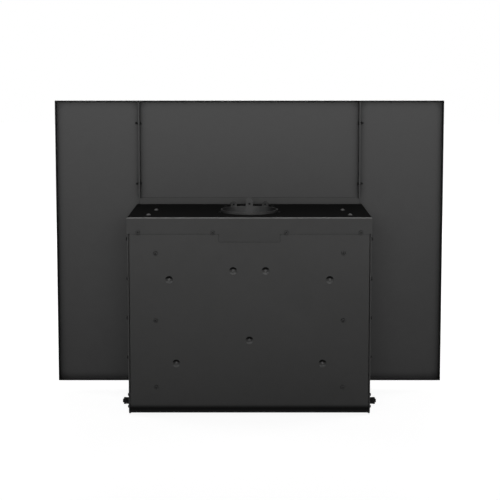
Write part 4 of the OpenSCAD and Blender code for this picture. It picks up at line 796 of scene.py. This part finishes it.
def makeSeamScrews():
    look = seamScrew
    low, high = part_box("seam_screws")
    seamX = high[0] - look["fromHead"] - look["sheet"]
    heights = (low[2] + look["headEdge"], high[2] - look["headEdge"])
    first = makeSeamScrew()
    placed = []
    for side in (1, -1):
        for height in heights:
            screw = first.copy()
            screw.data = first.data.copy()
            bpy.context.collection.objects.link(screw)
            screw.location = (side * seamX, (low[1] + high[1]) / 2, height)
            screw.rotation_euler = (0, 0, 0 if side > 0 else math.pi)
            applyPlace(screw)
            placed.append(screw)
    bpy.data.objects.remove(first)
    screws = joinPieces(placed, "seam_screw_set")
    bpy.ops.object.shade_smooth_by_angle(angle=math.radians(look["smooth"]))
    screws.data.materials.append(made["black_screw"])
    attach(screws, "insert")
    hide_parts("seam_screws")


# wound wire round the door handle's grip, which keeps it cool to the hand
gripCoil = dict(length=0.1, collarL=0.005, collarR=0.0105, capR=0.009, wireR=0.0017,
                coilR=0.01, pitch=0.0034, sides=10, steps=24, smooth=60)


def makeGripCoil():
    look = gripCoil
    low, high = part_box("door_handle")
    end = high[0] - look["capR"]
    start = end - look["length"] + look["collarL"]
    coil = addSpiral(look["coilR"], start + look["wireR"], end, look["pitch"], look["wireR"],
                     look["sides"], look["steps"])
    coil.location = (0, low[1] + look["collarR"], (low[2] + high[2]) / 2)
    applyPlace(coil)
    bpy.ops.object.shade_smooth_by_angle(angle=math.radians(look["smooth"]))
    coil.name = coil.data.name = "grip_coil"
    coil.data.materials.append(made["handle_steel"])
    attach(coil, "latch")


makeRope()
makeBlanket()
makeSeamScrews()
makeGripCoil()
print("rope, blanket, seam screws and grip coil made")


# floor, light and camera
def seenRays(tree):  # rays that show the white background
    path = node(tree, "ShaderNodeLightPath")
    seen = sums(tree, "MAXIMUM", path.outputs["Is Camera Ray"], path.outputs["Is Glossy Ray"])
    return sums(tree, "MAXIMUM", seen, path.outputs["Is Transmission Ray"])


# the floor's white grows from the object outwards, so that the shadow stays near it
paleFloor = dict(size=30.0, drop=0.0005, colour=grey(0.42), rough=0.9, specular=0.1,
                 fade=(1.4, 4.0), glow=(0.89, 0.985))


def makeFloor():
    look = paleFloor
    clearPick()
    bpy.ops.mesh.primitive_plane_add(size=look["size"], location=(0, 0, -look["drop"]))
    floor = bpy.context.object
    floor.name = "floor"
    material, tree, shader = newMaterial("pale floor")
    shader.inputs["Base Color"].default_value = (*look["colour"], 1)
    shader.inputs["Roughness"].default_value = look["rough"]
    shader.inputs["Specular IOR Level"].default_value = look["specular"]
    away = node(tree, "ShaderNodeVectorMath", operation="LENGTH")
    wire(tree, objectPlace(tree), away.inputs[0])
    pale = spread(tree, away.outputs["Value"], *look["fade"], *look["glow"])
    shader.inputs["Emission Color"].default_value = (1, 1, 1, 1)
    wire(tree, sums(tree, "MULTIPLY", seenRays(tree), pale), shader.inputs["Emission Strength"])
    floor.data.materials.append(material)


roomLight = dict(ambient=0.1, shown=1.0)


def makeWorld():
    world = bpy.data.worlds.new("studio")
    bpy.context.scene.world = world
    world.use_nodes = True
    tree = world.node_tree
    tree.nodes.clear()
    mix = node(tree, "ShaderNodeMixShader")
    wire(tree, seenRays(tree), mix.inputs[0])
    for index, strength in ((1, roomLight["ambient"]), (2, roomLight["shown"])):
        white = node(tree, "ShaderNodeBackground")
        white.inputs["Color"].default_value = (1, 1, 1, 1)
        white.inputs["Strength"].default_value = strength
        wire(tree, white.outputs[0], mix.inputs[index])
    wire(tree, mix.outputs[0], node(tree, "ShaderNodeOutputWorld").inputs["Surface"])


softboxes = {
    "rear softbox": dict(place=(0, 3.9, 1.45), aim=(0, 0, 1.25), size=(5.0, 0.8), power=24, fan=52),
    "front softbox": dict(place=(0, -3.4, 2.3), aim=(0, 0, 0.4), size=(3.0, 2.0), power=76, fan=180),
    "left softbox": dict(place=(-3.6, -1.2, 1.9), aim=(0, -0.1, 0.4), size=(1.6, 1.6), power=25,
                         fan=180),
    "right softbox": dict(place=(3.6, -1.2, 1.9), aim=(0, -0.1, 0.4), size=(1.6, 1.6), power=25,
                          fan=180),
}


def makeSoftbox(name, look):
    data = bpy.data.lights.new(name, "AREA")
    data.spread = math.radians(look["fan"])
    data.shape = "RECTANGLE"
    data.size, data.size_y = look["size"]
    data.energy = look["power"]
    lamp = bpy.data.objects.new(name, data)
    bpy.context.collection.objects.link(lamp)
    lamp.location = look["place"]
    toAim = Vector(look["aim"]) - Vector(look["place"])
    lamp.rotation_euler = toAim.to_track_quat("-Z", "Y").to_euler()


photoCamera = dict(place=(-0.00161, 3.7343, 0.9664), down=5.854, lens=93.56, sensor=36,
                   shift=-0.12)


def makeCamera():
    look = photoCamera
    data = bpy.data.cameras.new("camera")
    data.sensor_width = look["sensor"]
    data.lens = look["lens"]
    data.shift_y = look["shift"]
    camera = bpy.data.objects.new("camera", data)
    bpy.context.collection.objects.link(camera)
    camera.location = look["place"]
    camera.rotation_euler = (math.radians(90 - look["down"]), 0, math.radians(180))
    bpy.context.scene.camera = camera


makeFloor()
makeWorld()
for name, look in softboxes.items():
    makeSoftbox(name, look)
makeCamera()
bpy.context.scene.view_settings.view_transform = "Standard"
print("floor, light and camera placed")
